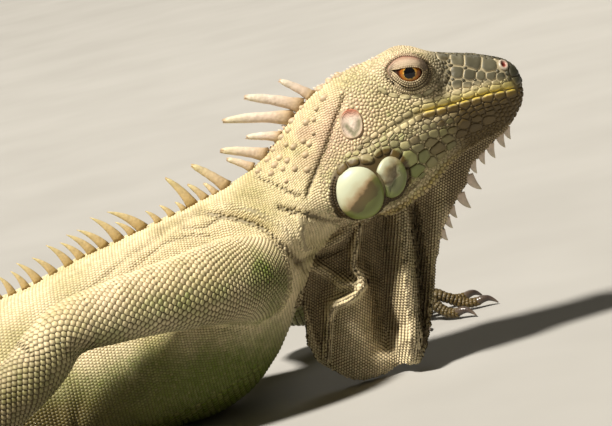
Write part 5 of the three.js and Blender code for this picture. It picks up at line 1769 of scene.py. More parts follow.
class IGUANA_OT_fan_scales(PieceOperator):
    """Lay beads in rows over both faces of the throat fan"""
    bl_idname = "iguana.fan_scales"
    bl_label = "Fan scales"
    ROW = 0.866  # spacing of the rows, as a share of that of the beads

    def build(self, context):
        skin, pitch = the_skin(), context.scene.iguana_sizes.fan_bead / MM
        rows = np.arange(0, 130 / (pitch * self.ROW))
        a, b = np.meshgrid(np.arange(0, 150 / pitch), rows, indexing="ij")
        a = (a + 0.5 * (b % 2)) * pitch
        b = b * pitch * self.ROW
        turn = math.radians(14)
        x = 112 + a * math.cos(turn) - (b - 30) * math.sin(turn)
        z = -18 + a * math.sin(turn) + b * math.cos(turn)
        x, z = x.ravel(), z.ravel()
        inside = (z > 1.5) & within(x, z, DEWLAP_UPPER + DEWLAP_LOWER[::-1])
        x, z = x[inside], z[inside]
        _, gx, gz = fan_slopes(x, z)
        long = pitch * 0.9 * np.sqrt(1 + np.minimum(gz**2, 5))
        wide = pitch * 0.98 * np.sqrt(1 + np.minimum(gx**2, 5))
        lie = np.tile([-0.24, 0.0, -0.97], (len(x), 1))
        batches = []
        for sign in (-1, 1):
            sheet = fan_sheet(x, z, float(sign))
            roots, _ = settle(sheet, skin)
            normals = unit(np.stack([-gx, 1 + 0 * gx, -gz], -1)) * sign
            good = (np.linalg.norm(roots - sheet, axis=1) < 5) & (on_fan(sheet) > 0.3)
            uv = np.stack([0.02 + 0.96 * (x - 120) / 130, (0.01 if sign < 0 else 0.51) + 0.48 * z / 115], 1)
            batches.append(dict(roots=roots[good], normals=normals[good], lie=lie[good], uv=uv[good],
                                outline=brick_outline(int(good.sum()), long[good], wide[good]),
                                height=0.55, lift=0.15, limb=0.0, seed=12, dark=1.0))
        lay(batches, "fan_scales", fan=1.0, tone=0.16, shrink=0.62)


def within(x, z, outline):
    """Which points lie inside a closed outline in side view: an odd number of crossings."""
    odd = np.zeros(x.shape, bool)
    for (x0, z0), (x1, z1) in zip(outline, outline[1:] + outline[:1]):
        if z0 == z1:
            continue
        odd ^= ((z0 > z) != (z1 > z)) & (x < (x1 - x0) * (z - z0) / (z1 - z0) + x0)
    return odd


class IGUANA_OT_head_scales(PieceOperator):
    """Lay the head's plates, lip rows and beads, and fill between them with small scales"""
    bl_idname = "iguana.head_scales"
    bl_label = "Head scales"

    def build(self, context):
        skin = the_skin()
        flat = PLATES + lip_plates() + suborbital_plates()
        cells = plate_cells(flat)
        roots, grain = self.between(flat, cells, skin)
        rise = np.array([plate[5] for plate in flat])
        profile = [(1.0, -0.6), (0.98, 0.05), (0.91, rise * 0.7), (0.76, rise * 0.95), (0.4, rise * 1.05)]
        for side, sign in (("right", -1), ("left", 1)):
            own, own_normals = settle(roots * np.array([1, -sign, 1.0]), skin)
            rings_of = [moulded(flat, cells, sign, skin, [(1.0, 0.0)]).reshape(-1, 3)]
            for cx, cz, a, b in (SHIELD_RING, TYMPANUM_RING, FORE_SHIELD[:4]):
                angle = np.linspace(0, 2 * np.pi, 70, endpoint=False)
                rings_of.append(side_on(cx + a * np.cos(angle), cz + b * np.sin(angle), sign, skin))
            mirror = own * np.array([1, -1.0, 1])
            fence = np.concatenate(rings_of + [mirror[np.abs(mirror[:, 1]) < 2.5]])
            lie = np.tile([-0.94, 0.0, -0.34], (len(own), 1))
            outline = cell_outlines(own, own_normals, lie, grain, fence)
            ring = ring_share(own[:, 0], own[:, 2]) * (np.abs(own[:, 1]) > 14)
            lay_scales(f"head_scales_{side}", own, own_normals, lie, outline, 0.2 + 0.34 * grain,
                       head_uv(own), lift=0.35, seed=31, tone=0.17, shrink=0.8, vary=0.15,
                       dark=0.85 + 2.9 * ring)
            self.plates(f"head_plates_{side}", moulded(flat, cells, sign, skin, profile))
            self.tubercles(side, sign, skin)

    def between(self, flat, cells, skin):
        """Roots and radii of the small scales that fill the right side between its plates."""
        points, numbers = skin_triangles(skin)
        three = points[numbers]
        three = three[(three[:, :, 0].min(axis=1) > 130) & (three[:, :, 1].max(axis=1) < 0.5)
                      & (three[:, :, 2].min(axis=1) > 60)]
        roots, _ = settle(strewn(three, 90000, 21), skin)
        good = (roots[:, 1] < -0.45) & (roots[:, 0] > 132)
        good &= ~behind_groove(roots) & (on_fan(roots) < 0.5)
        roots = roots[good]
        x, y, z = roots.T
        good = off_mouth(x, z)
        good &= outside(roots, [(*TYMPANUM_RING, 0)], 0.7) & outside(roots, [(*SHIELD_RING, 0)], 2.1) \
            & outside(roots, [FORE_SHIELD], 1.5)
        size = np.hypot(cells[..., 0], cells[..., 1])[..., None]
        spots = np.array([plate[:2] for plate in flat], float)
        depth = -side_on(spots[:, 0], spots[:, 1], -1, skin)[:, 1]
        for (cx, cz, *_), far, cell in zip(flat, depth, cells * (1 + 0.42 / size)):
            box = (np.abs(x - cx) < 8) & (np.abs(z - cz) < 8) & (-y > min(far, 40) - 3.2)
            good[box] &= ~within(x[box], z[box], [(cx + a, cz + b) for a, b in cell])
        good &= ~in_eye(x, -y, z) & ~in_nostril(x, z, 4.2, -y > 3)
        roots = roots[good]
        grain = head_grain(roots)
        kept = scattered(roots, grain, 5)
        return roots[kept], grain[kept]

    def tubercles(self, side, sign, skin):
        """Blunt cones standing among the small scales of the nape, with brown tops."""
        spots = np.array(TUBERCLES, float)
        roots = side_on(spots[:, 0], spots[:, 1], sign, skin)
        roots, normals = settle(roots[np.abs(roots[:, 1]) < 60], skin)
        size = 1.4 + 1.0 * np.random.default_rng(9).random(len(roots))
        outline = size[:, None, None] * (circle(8) * [1.15, 1])

        def brown(places, one, two):
            two[:, 1:] = 0.26, 0.45
            return one, two

        lay_scales(f"tubercles_{side}", roots, normals, np.tile([-0.9, 0, -0.4], (len(roots), 1)), outline,
                   1.9, head_uv(roots), lift=0.5, seed=17, shrink=0.62, extra=brown)

    def plates(self, name, rings):
        """One piece of all plates of a side, each plate with its own drift of colour."""
        n, r, m = rings.shape[:3]
        middle = rings[:, -1].mean(axis=1)
        count = r * m + 2
        spread_out = np.concatenate([rings.reshape(n, r * m, 3), middle[:, None], middle[:, None]], axis=1)
        one, two = (share.reshape(n, count, 3) for share in zones(spread_out.reshape(-1, 3)))
        edge = np.concatenate([np.repeat([1.0, 0.9, 0.3, 0.04, 0.0], m), [0.0, 1.0]])
        rng = np.random.default_rng(3)
        tone = 1 + 0.2 * rng.normal(0, 1, n).clip(-2, 2)
        jowl = (middle[:, 2] < 117) & (middle[:, 0] > 158)
        drift = rng.random((n, 2)) * jowl[:, None]
        one[..., 0] = np.clip(one[..., 0] + 0.45 * drift[:, :1], 0, 1)
        under = ((middle[:, 2] > 129.5) & (middle[:, 0] < 212))[:, None]
        one[..., 0] = np.clip(one[..., 0] + 0.22 * under, 0, 1)
        one[..., 2] = np.clip(one[..., 2] + 0.5 * drift[:, 1:] ** 2 + 0.12 * under, 0, 1)
        two[..., 1] = np.clip(two[..., 1] + 0.55 * (1 - drift[:, :1]) ** 2 * jowl[:, None], 0, 1)
        attributes = {"zone_a": one, "zone_b": two,
                      "edge": edge[None] * gap_sign(middle)[:, None],
                      "tone": np.repeat(tone[:, None], count, axis=1)}
        shares = np.repeat((1.0, 0.95, 0.88, 0.7, 0.4), m)[:, None]
        spots = np.pad(shares * np.tile(superellipse(m, 2.0), (r, 1)) * PLATE_ON_MAP, ((0, 2), (0, 0)))
        piece = dome_piece(name, rings, "scaled_hide", attributes, head_uv(middle)[:, None] + spots[None])


def off_mouth(x, z):
    """Which places of the head lie off the mouth's line."""
    return (np.abs(z - mouth_height(x)) > 0.9) | (x < 188)


def in_eye(x, out, z):
    """Which places lie in the opening of the lids, far enough out from the middle plane."""
    return within(x, z, lid_outline(0.5)) & (out > 9.5)


def in_nostril(x, z, radius, outer=True):
    """Which places lie in a nostril's disc."""
    return (x > 240) & (np.hypot(x - NOSTRIL[0], z - NOSTRIL[1]) < radius) & outer


def head_uv(points):
    """The head's skin unrolled about its middle line, as a place on the map."""
    x, y, z = points.T
    return np.stack([0.02 + 0.96 * (x - 130) / 126, 0.5 + 0.48 * np.arctan2(y, z - 112) / np.pi], 1)


class IGUANA_OT_fill(PieceOperator):
    """Set small round scales where the skin has been left bare between the other scales"""
    bl_idname = "iguana.fill"
    bl_label = "Filling scales"

    def build(self, context):
        skin = the_skin()
        words = ("scales", "plates", "tubercles")
        scales = [piece for piece in bpy.data.objects
                  if piece.type == "MESH" and any(word in piece.name for word in words)]
        cloud = make_mesh("cloud", np.concatenate([places_of(piece.data) for piece in scales]))
        points, three = skin_triangles(skin)
        bare = nearest_corner(points, cloud) > 1.35
        x, y, z = points.T
        bare &= outside(points, [(*TYMPANUM_RING, 0), (*SHIELD_RING, 0), FORE_SHIELD], 1.2) | (np.abs(y) < 15)
        bare &= ~in_eye(x, np.abs(y), z) & off_mouth(x, z) & ~in_nostril(x, z, 4.4) & (z > 3)
        three = points[three[bare[three].any(axis=1)]]
        at = strewn(three, int(min(60000, 2.2 * doubled_areas(three).sum())), 61)
        roots, normals = settle(at[nearest_corner(at, cloud) > 0.75], skin)
        bpy.data.meshes.remove(cloud.data)
        kept = scattered(roots, np.full(len(roots), 0.72), 62)
        roots, normals = roots[kept], normals[kept]
        outline = np.tile(0.78 * circle(6), (len(roots), 1, 1))
        lay_scales("gap_scales", roots, normals, np.tile([-0.9, 0.0, -0.43], (len(roots), 1)), outline, 0.5,
                   around_uv(roots), limb=on_limb(roots), fan=on_fan(roots), lift=0.3, seed=63, shrink=0.72)


def around_uv(points):
    """The skin unrolled about its length, as a place on the map."""
    x, y, z = points.T
    return np.stack([0.02 + 0.96 * (x + 980) / 1240, 0.5 + 0.48 * np.arctan2(y, z - 60) / np.pi], 1)


class IGUANA_OT_eyes(PieceOperator):
    """Build the eyeballs, and the lids with their beaded edges and creases"""
    bl_idname = "iguana.eyes"
    bl_label = "Eyes and lids"
    AROUND = 64  # places round each ring of the eyeball
    # Rows of beads on the lids: share of the lid profile, bead radius, and the stretch of the turn.
    ROWS = ((0.10, 0.42, 0, 1), (0.36, 0.5, 0.52, 1), (0.68, 0.55, 0.52, 1), (1.13, 0.5, 0, 1),
            (1.4, 0.5, 0, 1), (1.62, 0.56, 0, 1), (1.84, 0.6, 0, 1))

    def build(self, context):
        skin = the_skin()
        for side, sign in (("right", -1), ("left", 1)):
            self.ball(side, sign)
            rings = lid_surface(sign, skin)
            self.lids(side, sign, rings)
            self.beads(side, rings)

    def ball(self, side, sign):
        """The eyeball with its cornea, as rings about the eye's axis."""
        axis = unit(np.array([EYE_AXIS[0], sign * EYE_AXIS[1], EYE_AXIS[2]]))
        a = unit(np.cross(axis, [0, 0, 1.0]))
        b = np.cross(axis, a)
        polar = np.concatenate([np.linspace(0.02, 0.9, 34), np.linspace(0.98, np.pi - 0.05, 20)])
        turn = np.arange(self.AROUND) / self.AROUND * 2 * np.pi
        cornea = 0.75 * np.exp(-((polar / 0.52) ** 4))
        size = EYE_RADIUS + cornea - 0.1
        ring = (np.cos(turn)[:, None] * a + np.sin(turn)[:, None] * b)
        points = (size * np.cos(polar))[:, None, None] * axis + (size * np.sin(polar))[:, None, None] * ring
        middle = np.array([EYE_AT[0], sign * EYE_AT[1], EYE_AT[2]])
        points, faces = closed_tube(points + middle)
        eye = make_mesh(f"eyeball_{side}", points, faces)
        gaze = np.concatenate([np.repeat(polar, self.AROUND), [0, np.pi]])
        put_attribute(eye.data, "gaze", np.minimum(gaze, 1.2))
        eye.data.materials.append(bpy.data.materials["eyeball"])
        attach(eye, "root")
        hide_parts(f"eye_{side}")

    def lids(self, side, sign, rings):
        """The lids as one closed band, with what tells the upper, lower and front parts apart."""
        centre = np.array([EYE_AT[0], sign * (EYE_AT[1] - 2), EYE_AT[2]])
        inner = rings[::-1] + unit(centre - rings[::-1]) * LID_THICKNESS
        loop = np.concatenate([rings, inner])
        r, m = loop.shape[:2]
        points = loop.reshape(-1, 3)
        lid = make_mesh(f"eyelids_{side}", points,
                        facing_out(points, halved(grid_quads(r + 1, m, True) % (r * m))))
        share = np.array([s for s, _ in LID_PROFILE]) / 2
        put_attribute(lid.data, "share", np.repeat(np.r_[share, 0 * share], m))
        put_attribute(lid.data, "under", 1 - ease(points[:, 2], EYE_AT[2] - 2.5, EYE_AT[2] + 2.5))
        ahead, up = points[:, 0] - EYE_AT[0], points[:, 2] - EYE_AT[2]
        # fore: 1 on the lids' front corner, painted dark as shade.
        put_attribute(lid.data, "fore", ease(ahead - 0.25 * np.abs(up), 1.6, 4.6))
        lid.data.materials.append(bpy.data.materials["lid"])
        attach(lid, "root")

    def beads(self, side, rings):
        """Rows of beads along the lids' edges and in arcs over the fold round the eye."""
        shares = np.array([s for s, _ in LID_PROFILE])
        rows, lies, sizes = [], [], []
        for share, size, first, last in self.ROWS:
            k = np.interp(share, shares, np.arange(len(shares)))
            i, t = int(k), k - int(k)
            ring = rings[i] * (1 - t) + rings[min(i + 1, len(shares) - 1)] * t
            closed = np.vstack([ring, ring[:1]])
            run = run_along(closed)
            count = int(run[-1] * (last - first) / (2.1 * size))
            at = (first + (np.arange(count) + 0.5) / count * (last - first)) * run[-1]
            rows.append(columns_at(at, run, closed))
            lies.append(columns_at(at + 0.4, run, closed) - rows[-1])
            sizes.append(np.full(count, size))
        lie, size = np.concatenate(lies), np.concatenate(sizes)
        roots, normals = settle(np.concatenate(rows), bpy.data.objects[f"eyelids_{side}"])
        outline = size[:, None, None] * (circle(6) * [1.16, 1.05])

        def tinted(places, one, two):
            ahead, up = places[:, 0] - EYE_AT[0], places[:, 2]
            # Beads are browner towards the front corner: painted shade, as on the lids.
            front = ease(ahead - 0.2 * np.abs(up - EYE_AT[2]), 1.5, 6)
            two[:, 1] = np.clip(two[:, 1] + 0.32 + 0.45 * front, 0, 1)
            two[:, 2] = np.clip(two[:, 2] + 0.35 * ease(up, EYE_AT[2] + 2, EYE_AT[2] + 7), 0, 1)
            return one, two

        lay_scales(f"lid_beads_{side}", roots, normals, lie, outline, size * 1.1, head_uv(roots), lift=0.0,
                   seed=41, sink=0.25, tone=0.3, dark=1.0, extra=tinted)


def oval_line(x, z, a, b, turn=0, count=90):
    """A closed side-view line round an oval."""
    t = 2 * np.pi * np.arange(count + 1) / count
    c, s = math.cos(math.radians(turn)), math.sin(math.radians(turn))
    along, up = a * np.cos(t), b * np.sin(t)
    return np.stack([x + along * c - up * s, z + along * s + up * c], -1)


def bead_lines(name, lines, sign, skin, seed=44):
    """Rows of beads evenly spaced along side-view lines: each line has its bead size and brownness."""
    roots, lies, sizes, browns = [], [], [], []
    for line, size, brown in lines:
        line = np.array(line, float)
        run = run_along(line)
        at = np.arange(size, run[-1] - 0.5 * size, 1.9 * size)
        places = columns_at(at, run, line)
        x, z = places.T
        dx, dz = (columns_at(at + 0.3, run, line) - places).T
        roots.append(side_on(x, z, sign, skin))
        lies.append(np.stack([dx, 0 * dx, dz], -1))
        sizes.append(np.full(len(x), size))
        browns.append(np.full(len(x), brown))
    roots, normals = settle(np.concatenate(roots), skin)
    size, brown = np.concatenate(sizes), np.concatenate(browns)
    outline = size[:, None, None] * circle(7)

    def tinted(places, one, two):
        two[:, 1] = np.maximum(two[:, 1] * (brown > 0.2), brown)
        return one, two

    lay_scales(name, roots, normals, np.concatenate(lies), outline, size * 0.75, head_uv(roots), lift=0.1,
               seed=seed, extra=tinted, shrink=0.72, vary=0.05, dark=np.where(brown > 0.8, 3.4, 0.8))


class IGUANA_OT_ears(PieceOperator):
    """Build the ear drums, jowl shields, the plates ahead of them and the nostrils"""
    bl_idname = "iguana.ears"
    bl_label = "Ear drums, shields, nostrils"
    # Share of the outline and height over the skin, from the sunk rim to the middle.
    DRUM = [(1.12, -0.6), (1.07, 0.5), (1.0, 1.05), (0.93, 0.95), (0.85, 0.5), (0.7, 0.25), (0.45, 0.3),
            (0.2, 0.5)]
    NOSE = [(1.0, -0.8), (0.97, 0.35), (0.88, 0.75), (0.72, 0.95), (0.56, 0.85), (0.46, 0.5), (0.38, 0.2),
            (0.2, 0.1)]

    def build(self, context):
        skin = the_skin()
        for side, sign in (("right", -1), ("left", 1)):
            bead_lines(f"shield_beads_{side}", self.shield_rims(), sign, skin)
            self.shield(side, sign)
            self.fore_plate(side, sign, skin)
            drum = self.dome(f"ear_drum_{side}", TYMPANUM_RING, -6, self.DRUM, 2.2, "drum", sign, skin)
            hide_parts(f"tympanum_{side}")
            nose = self.dome(f"nostril_{side}", (*NOSTRIL, 2.7, 3.5), -8, self.NOSE, 2.0, "nostril", sign,
                             skin)

    def shield_rims(self):
        """Two rows of beads round each shield, and two under the jaw's rim."""
        lines = []
        x, z, a, b = SHIELD_RING
        gap_x, gap_z, gap_long, gap_high = BEAD_BREAK
        for grow, brown in ((0.8, 1.0), (2.1, 0.9)):
            oval = oval_line(x, z, a + grow, b + grow)
            kept = [(u, v) for u, v in oval if math.hypot((u - gap_x) / gap_long, (v - gap_z) / gap_high) > 1]
            lines.append(([(u, v) for u, v in kept if v <= z + 6 or u <= x - 9], 0.72, brown))
        x, z, a, b, turn = FORE_SHIELD
        for grow, brown, rear, top in ((0.8, 1.0, 177, 106), (2.1, 0.9, 179, 92)):
            oval = oval_line(x, z, a + grow, b + grow, turn)
            lines.append(([(u, v) for u, v in oval if u > rear and v < top], 0.62, brown))
        # The lower row under the jaw's rim is browner: painted shade under the rim.
        return lines + [(RIM_BEADS, 0.75, 0.3), ([(u, v - 2.0) for u, v in RIM_BEADS], 0.7, 0.7)]

    def dome(self, name, oval, turn, profile, power, material, sign, skin, around=48):
        """One dome on the skin, with its share from rim to middle and its place in its own oval."""
        x, z, *half = oval
        shape = superellipse(around, power)
        rings = dome_rings(x, z, half, turn, sign, skin, profile, shape)
        shares = np.array([share for share, _ in profile])
        share = np.concatenate([np.repeat(1 - shares / shares[0], around), [1.0, 0.0]])
        local = np.repeat(shares, around)[:, None] * np.tile(shape, (len(profile), 1))
        local = np.pad(local, ((0, 2), (0, 1)))
        places = rings.reshape(-1, 3)
        vee = np.concatenate([line_distance(places[:, 0], places[:, 2], DRUM_VEE), [9, 9]])
        attributes = {"share": share[None], "local": local[None], "vee": vee[None]}
        return dome_piece(name, rings, material, attributes)

    def fore_plate(self, side, sign, skin):
        """The plate ahead of the big one: an oval cut back where the big one's rim comes."""
        x, z, a, b, turn = FORE_SHIELD
        oval = np.array(oval_line(0, 0, a, b, turn, 56))[:-1]
        reach = np.linspace(1, 0.2, 60)[:, None, None]
        ring = np.array(SHIELD_RING)
        away = (oval[None] * reach + [x - ring[0], z - ring[1]]) / (ring[2:] + 0.9)
        clear = np.hypot(away[..., 0], away[..., 1])
        first = np.argmax(clear > 1, axis=0)
        outline = oval * reach[first, 0]
        profile = [(1.0, -0.8), (0.99, 0.6), (0.95, 1.2), (0.87, 1.7), (0.72, 2.1), (0.5, 2.4), (0.25, 2.55)]
        rings = moulded([(x, z)], outline[None], sign, skin, profile)
        local = np.concatenate([outline[None] * share / [a, b] for share, _ in profile], 1)
        local = np.pad(local, ((0, 0), (0, 2), (0, 1)))
        piece = dome_piece(f"fore_shield_{side}", rings, "jowl_plate",
                           {"local": local, "fore": np.ones(local.shape[:2])})

    def shield(self, side, sign):
        """The big plate: an upright rounded box whose rings step out from the jowl as it narrows."""
        x, z, a, b = SHIELD_RING
        profile = [(0.96, 23.5), (1.0, 26.6), (0.995, 27.8), (0.96, 29.0), (0.89, 30.1), (0.77, 31.2),
                   (0.6, 32.2), (0.4, 32.8), (0.18, 33.1)]
        shape = superellipse(56, 2.2)
        shares = np.array([share for share, _ in profile])
        flat = shape[None] * shares[:, None, None]
        out = np.array([y for _, y in profile])[:, None] + 0.05 * b * flat[..., 1]
        rings = np.stack([x + a * flat[..., 0], sign * out, z + b * flat[..., 1]], -1)[None]
        local = np.pad(flat.reshape(-1, 2), ((0, 2), (0, 1)))
        piece = dome_piece(f"shield_{side}", rings, "jowl_plate",
                           {"local": local[None], "fore": np.zeros((1, len(local)))})
        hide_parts(f"jowl_shield_{side}")


def back_height(q):
    """Height of the body's top line at places along it."""
    return smooth_rows(SECTIONS, np.asarray(q, float))[..., 0]


def crest_spines():
    """Every spine of the crest: place along the back, length, lean in degrees and root width."""
    rows = [(q, size, lean) for q, size, lean in FRONT_SPINES]
    q, i = FRONT_SPINES[-1][0] - BACK_SPINE_STEP, 0
    while q > CREST_END:
        share = max(0.0, (TAIL_START + 60 - q) / (TAIL_START + 60 - CREST_END))
        ripple = 1 + 0.1 * math.sin(2.4 * i) + 0.06 * math.sin(5.1 * i)
        rows.append((q, BACK_SPINE_LENGTH * ripple * (1 - 0.8 * share), 22 + 6 * math.sin(1.7 * i)))
        q -= BACK_SPINE_STEP * (1 + 0.9 * share)
        i += 1
    return [(q, size, lean, min(7.4, 2.9 + 0.2 * size)) for q, size, lean in rows]


SPINE_STEPS = 10  # rings of a spine, and places round each ring


def horn(path, ahead, side, wide, thick, around=SPINE_STEPS):
    """Rings of a flattened horn about its path: wide along `ahead`, thick along `side`."""
    turn = np.arange(around) / around * 2 * np.pi
    return (path[:, None] + ahead[:, None] * (wide[:, None] * np.cos(turn))[..., None]
            + side * (thick[:, None] * np.sin(turn))[..., None])


def shared(steps, ends, around=SPINE_STEPS):
    """The share along a horn at each of its points, its two closing points last."""
    return np.concatenate([np.repeat(steps, around), ends])


def summed(values):
    """Running sum from 0."""
    return np.concatenate([[0], np.cumsum(values)])


class IGUANA_OT_crest(PieceOperator):
    """Build the crest of spines along the back and the spikes under the throat"""
    bl_idname = "iguana.crest"
    bl_label = "Crest and throat spikes"
    STEPS = np.linspace(0, 1, SPINE_STEPS)
    BURIED, SPIKE_BURIED = 1.6, 1.8  # how much of a spine and of a throat spike runs on inside the body
    STUBS = np.arange(126.0, 196.0, 1.9)  # places of the low stubs on the neck and the head

    def build(self, context):
        horns = [self.spine(*row) for row in crest_spines()] + [self.stub(q) for q in self.STUBS]
        self.finish("crest_spines", horns)
        self.finish("throat_spikes", [self.spike(*row) for row in THROAT_SPIKES])

    def spine(self, q, size, lean, root):
        """A spine that bends back over its length. Those of the nape are blunt, with ragged ends."""
        steps = self.STEPS
        slope = math.atan2(float(back_height(q + 1.5) - back_height(q - 1.5)), 3.0)
        blunt = float(ease(np.array(q), 60, 112))
        bend = slope + np.radians(lean + SPINE_BEND * (1 - 0.6 * blunt) * (steps - 0.5))
        run = size + self.BURIED
        middle = (bend[1:] + bend[:-1]) / 2
        qs = q - summed(np.sin(middle)) * run / (SPINE_STEPS - 1)
        zs = float(back_height(q)) - 1.0 + summed(np.cos(middle)) * run / (SPINE_STEPS - 1)
        taper = (1 - steps) ** 0.8 * (1 - blunt) + (1 - 0.42 * steps) * (1 - 0.42 * steps**9) * blunt
        ripple = 1 + blunt * (0.05 * np.sin(steps * run * 1.3 + q) + 0.3 * (1 - steps) ** 7)
        wide = np.maximum(root / 2 * (0.94 - 0.08 * blunt) * taper * ripple, 0.12)
        thick = np.maximum((1.15 + 0.95 * blunt) * (1 - 0.55 * steps) * np.minimum(1, taper * 2.4), 0.1)
        path = on_body(qs, 0 * qs, zs)
        heading = float(np.interp(TAIL_START - q, PLAN_D, PLAN_H)) if q < TAIL_START else 0.0
        along = np.array([math.cos(heading), -math.sin(heading), 0])
        side = np.array([math.sin(heading), math.cos(heading), 0])
        ahead = along * np.cos(bend)[:, None] + np.array([0, 0, 1]) * np.sin(bend)[:, None]
        rings = horn(path, ahead, side, wide, thick)
        places = np.arange(SPINE_STEPS)
        ragged = np.sin(2.9 * places + q) + 0.6 * np.sin(1.7 * places * q)
        rings[-1] += blunt * 0.7 * ragged[:, None] * unit(path[-1] - path[-2])
        return closed_tube(rings), shared(steps, [0, 1])

    def stub(self, q):
        """A low blunt scale on the middle line of the neck and the head."""
        size = 1.5 + 0.35 * math.sin(2.7 * q)
        zs = float(back_height(q)) - 1.2 + np.array([0, 1.2, 1.9, 2.4]) * size * 0.62
        path = on_body(q - np.array([0, 0.1, 0.35, 0.8]) * size, np.zeros(4), zs)
        wide = size * np.array([0.6, 0.56, 0.4, 0.12])
        rings = horn(path, np.tile([1.0, 0, 0.3], (4, 1)), np.array([0, 1.0, 0]), wide, 0.8 * wide, 7)
        return closed_tube(rings), shared([0.1, 0.2, 0.35, 0.5], [0.1, 0.5], 7)

    def spike(self, x, z, size, lean):
        """A soft spike that hangs from the fan's front edge."""
        steps = self.STEPS
        angle = np.radians(0.55 * lean - 20 + 40 * steps)
        step = (size + self.SPIKE_BURIED) / (SPINE_STEPS - 1)
        xs = x - self.SPIKE_BURIED * math.sin(angle[0]) + summed(np.sin(angle[1:])) * step
        zs = z + self.SPIKE_BURIED * math.cos(angle[0]) - summed(np.cos(angle[1:])) * step
        path = np.stack([xs, float(fan_carried(np.array([x]), np.array([z]))[0]) + 0 * xs, zs], -1)
        ahead = np.stack([np.cos(angle), 0 * angle, np.sin(angle)], -1)
        wide = np.maximum((0.9 + 0.2 * size) * (1 - steps**1.6) ** 0.8 + 0.1, 0.2)
        thick = np.maximum(0.9 * (1 - 0.7 * steps), 0.2)
        return closed_tube(horn(path, ahead, np.array([0, 1.0, 0]), wide, thick)), \
            shared(0.35 + 0.6 * steps, [0.35, 1])

    def finish(self, name, horns):
        """One piece of horns, with the share along each for its colour."""
        piece = make_mesh(name, *joined([tube for tube, _ in horns]))
        put_attribute(piece.data, "share", np.concatenate([share for _, share in horns]))
        piece.data.materials.append(bpy.data.materials["spine"])
        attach(piece, "root")


class IGUANA_OT_claws(PieceOperator):
    """Build the curved claws, one piece for each foot"""
    bl_idname = "iguana.claws"
    bl_label = "Claws"

    def build(self, context):
        turns = np.arange(12)[None] / 12
        for key, leg in LEGS.items():
            parts, shares = [], []
            for path in digit_paths(leg)[1]:
                frames = limb_frames(path, DIGIT_STEPS)
                run = np.linspace(0, frames["run"][-1], 16)
                parts.append(closed_tube(limb_surface(frames, run[:, None], turns, grow=0.0)))
                shares.append(shared(run / run[-1], [0, 1], turns.size))
            piece = make_mesh(f"claws_{key}", *joined(parts))
            put_attribute(piece.data, "share", np.concatenate(shares))
            piece.data.materials.append(bpy.data.materials["claw"])
            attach(piece, "root")
            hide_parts(*[f"claw_{key}_{i}" for i in range(1, 6)])


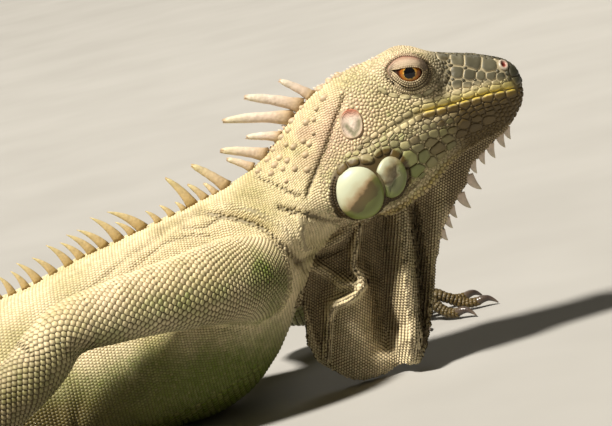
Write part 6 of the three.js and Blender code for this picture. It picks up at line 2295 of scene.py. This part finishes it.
class IGUANA_OT_stage(PieceOperator):
    """Set the pale floor, the soft lights and the camera"""
    bl_idname = "iguana.stage"
    bl_label = "Stage"
    TARGET, DISTANCE, RISE, ROLL, LENS = (138.1, 0.0, 86.0), 1600.0, 8.5, 13.0, 196.06
    FLOOR, FLOOR_LEVEL = 15000.0, -0.02
    KEY, KEY_ENERGY, KEY_ANGLE, KEY_TINT = (-0.92, -0.74, 1.76), 7.2, 0.145, (1, 0.94, 0.84)
    # Soft lamps, in metres: name, place, target, size, power, colour.
    LAMPS = (("fill", (0.9, -2.4, 1.2), (0.1, 0, 0.08), 2.2, 0.7, (1, 0.86, 0.55)),
             ("rim", (0.6, 1.7, 1.6), (0.1, 0, 0.1), 1.2, 7, (1, 0.96, 0.88)))
    BACKGROUND, AMBIENT, AMBIENT_STRENGTH = (0.46, 0.44, 0.40, 1), (1.0, 0.89, 0.60, 1), 0.06

    def build(self, context):
        scene = context.scene
        self.floor()
        self.camera(scene)
        self.lamps(scene)
        self.world(scene)
        scene.view_settings.view_transform = "Standard"

    def floor(self):
        """One large square just below the feet."""
        reach = np.array([-self.FLOOR, self.FLOOR])
        grid = np.stack(np.broadcast_arrays(reach[None], reach[:, None], self.FLOOR_LEVEL), -1)
        floor = make_mesh("floor", grid.reshape(-1, 3), grid_quads(2, 2, False))
        floor.data.materials.append(bpy.data.materials["floor"])

    def camera(self, scene):
        """A long lens at the animal's right, a little above it and rolled."""
        rise, roll = math.radians(self.RISE), math.radians(self.ROLL)
        level, along = Vector((0, math.sin(rise), math.cos(rise))), Vector((1, 0, 0))
        right = along * math.cos(roll) - level * math.sin(roll)
        up = along * math.sin(roll) + level * math.cos(roll)
        back = Vector((0, -math.cos(rise), math.sin(rise)))
        lens = bpy.data.cameras.new("camera")
        lens.lens, lens.sensor_width, lens.clip_end = self.LENS, 36, 60
        camera = bpy.data.objects.new("camera", lens)
        camera.matrix_world = Matrix((right, up, back)).transposed().to_4x4()
        camera.location = (Vector(self.TARGET) + back * self.DISTANCE) * MM
        scene.collection.objects.link(camera)
        scene.camera = camera

    def lamps(self, scene):
        """The sun, and the soft lamps that fill its shadows and light the far side."""
        sun = bpy.data.lights.new("key", "SUN")
        sun.energy, sun.angle, sun.color = self.KEY_ENERGY, self.KEY_ANGLE, self.KEY_TINT
        self.hang(scene, sun, -Vector(self.KEY))
        for name, place, target, size, power, tint in self.LAMPS:
            light = bpy.data.lights.new(name, "AREA")
            light.size, light.energy, light.color = size, power, tint
            self.hang(scene, light, Vector(target) - Vector(place)).location = place

    def hang(self, scene, light, way):
        """A lamp that shines along a direction."""
        lamp = bpy.data.objects.new(light.name, light)
        lamp.rotation_euler = way.to_track_quat("-Z", "Y").to_euler()
        scene.collection.objects.link(lamp)
        return lamp

    def world(self, scene):
        """Warm weak light from all round, and a pale backdrop for the camera alone."""
        world = scene.world or bpy.data.worlds.new("world")
        scene.world = world
        world.use_nodes = True
        tree = world.node_tree
        seen = add(tree, "ShaderNodeLightPath").outputs["Is Camera Ray"]
        sky = tree.nodes["Background"]
        tree.links.new(mix(tree, seen, self.AMBIENT, self.BACKGROUND), sky.inputs["Color"])
        strength = plus(tree, times(tree, seen, 1 - self.AMBIENT_STRENGTH), self.AMBIENT_STRENGTH)
        tree.links.new(strength, sky.inputs["Strength"])


OPERATORS = [IGUANA_OT_skin, IGUANA_OT_trunk_scales, IGUANA_OT_tail_scales, IGUANA_OT_leg_scales,
             IGUANA_OT_fan_scales, IGUANA_OT_head_scales, IGUANA_OT_fill, IGUANA_OT_eyes, IGUANA_OT_ears,
             IGUANA_OT_crest, IGUANA_OT_claws, IGUANA_OT_stage]


class IGUANA_PT_panel(bpy.types.Panel):
    """Sizes, colours and the operators in their order"""
    bl_label = "Green Iguana"
    bl_idname = "IGUANA_PT_panel"
    bl_space_type = "VIEW_3D"
    bl_region_type = "UI"
    bl_category = "Iguana"

    def draw(self, context):
        for settings in (context.scene.iguana_sizes, context.scene.iguana_colours):
            box = self.layout.box()
            for name in settings.bl_rna.properties.keys():
                if name not in ("rna_type", "name"):
                    box.prop(settings, name)
        for operator in OPERATORS:
            self.layout.operator(operator.bl_idname)


CLASSES = [IguanaSizes, IguanaColours, *OPERATORS, IGUANA_PT_panel]


def register():
    for cls in CLASSES:
        bpy.utils.register_class(cls)
    bpy.types.Scene.iguana_sizes = PointerProperty(type=IguanaSizes)
    bpy.types.Scene.iguana_colours = PointerProperty(type=IguanaColours)


def unregister():
    del bpy.types.Scene.iguana_colours
    del bpy.types.Scene.iguana_sizes
    for cls in reversed(CLASSES):
        bpy.utils.unregister_class(cls)


def main():
    register()
    for operator in OPERATORS:
        group, name = operator.bl_idname.split(".")
        if getattr(getattr(bpy.ops, group), name)() != {"FINISHED"}:
            raise RuntimeError(f"{operator.bl_label} was not built")


if __name__ == "__main__":
    main()
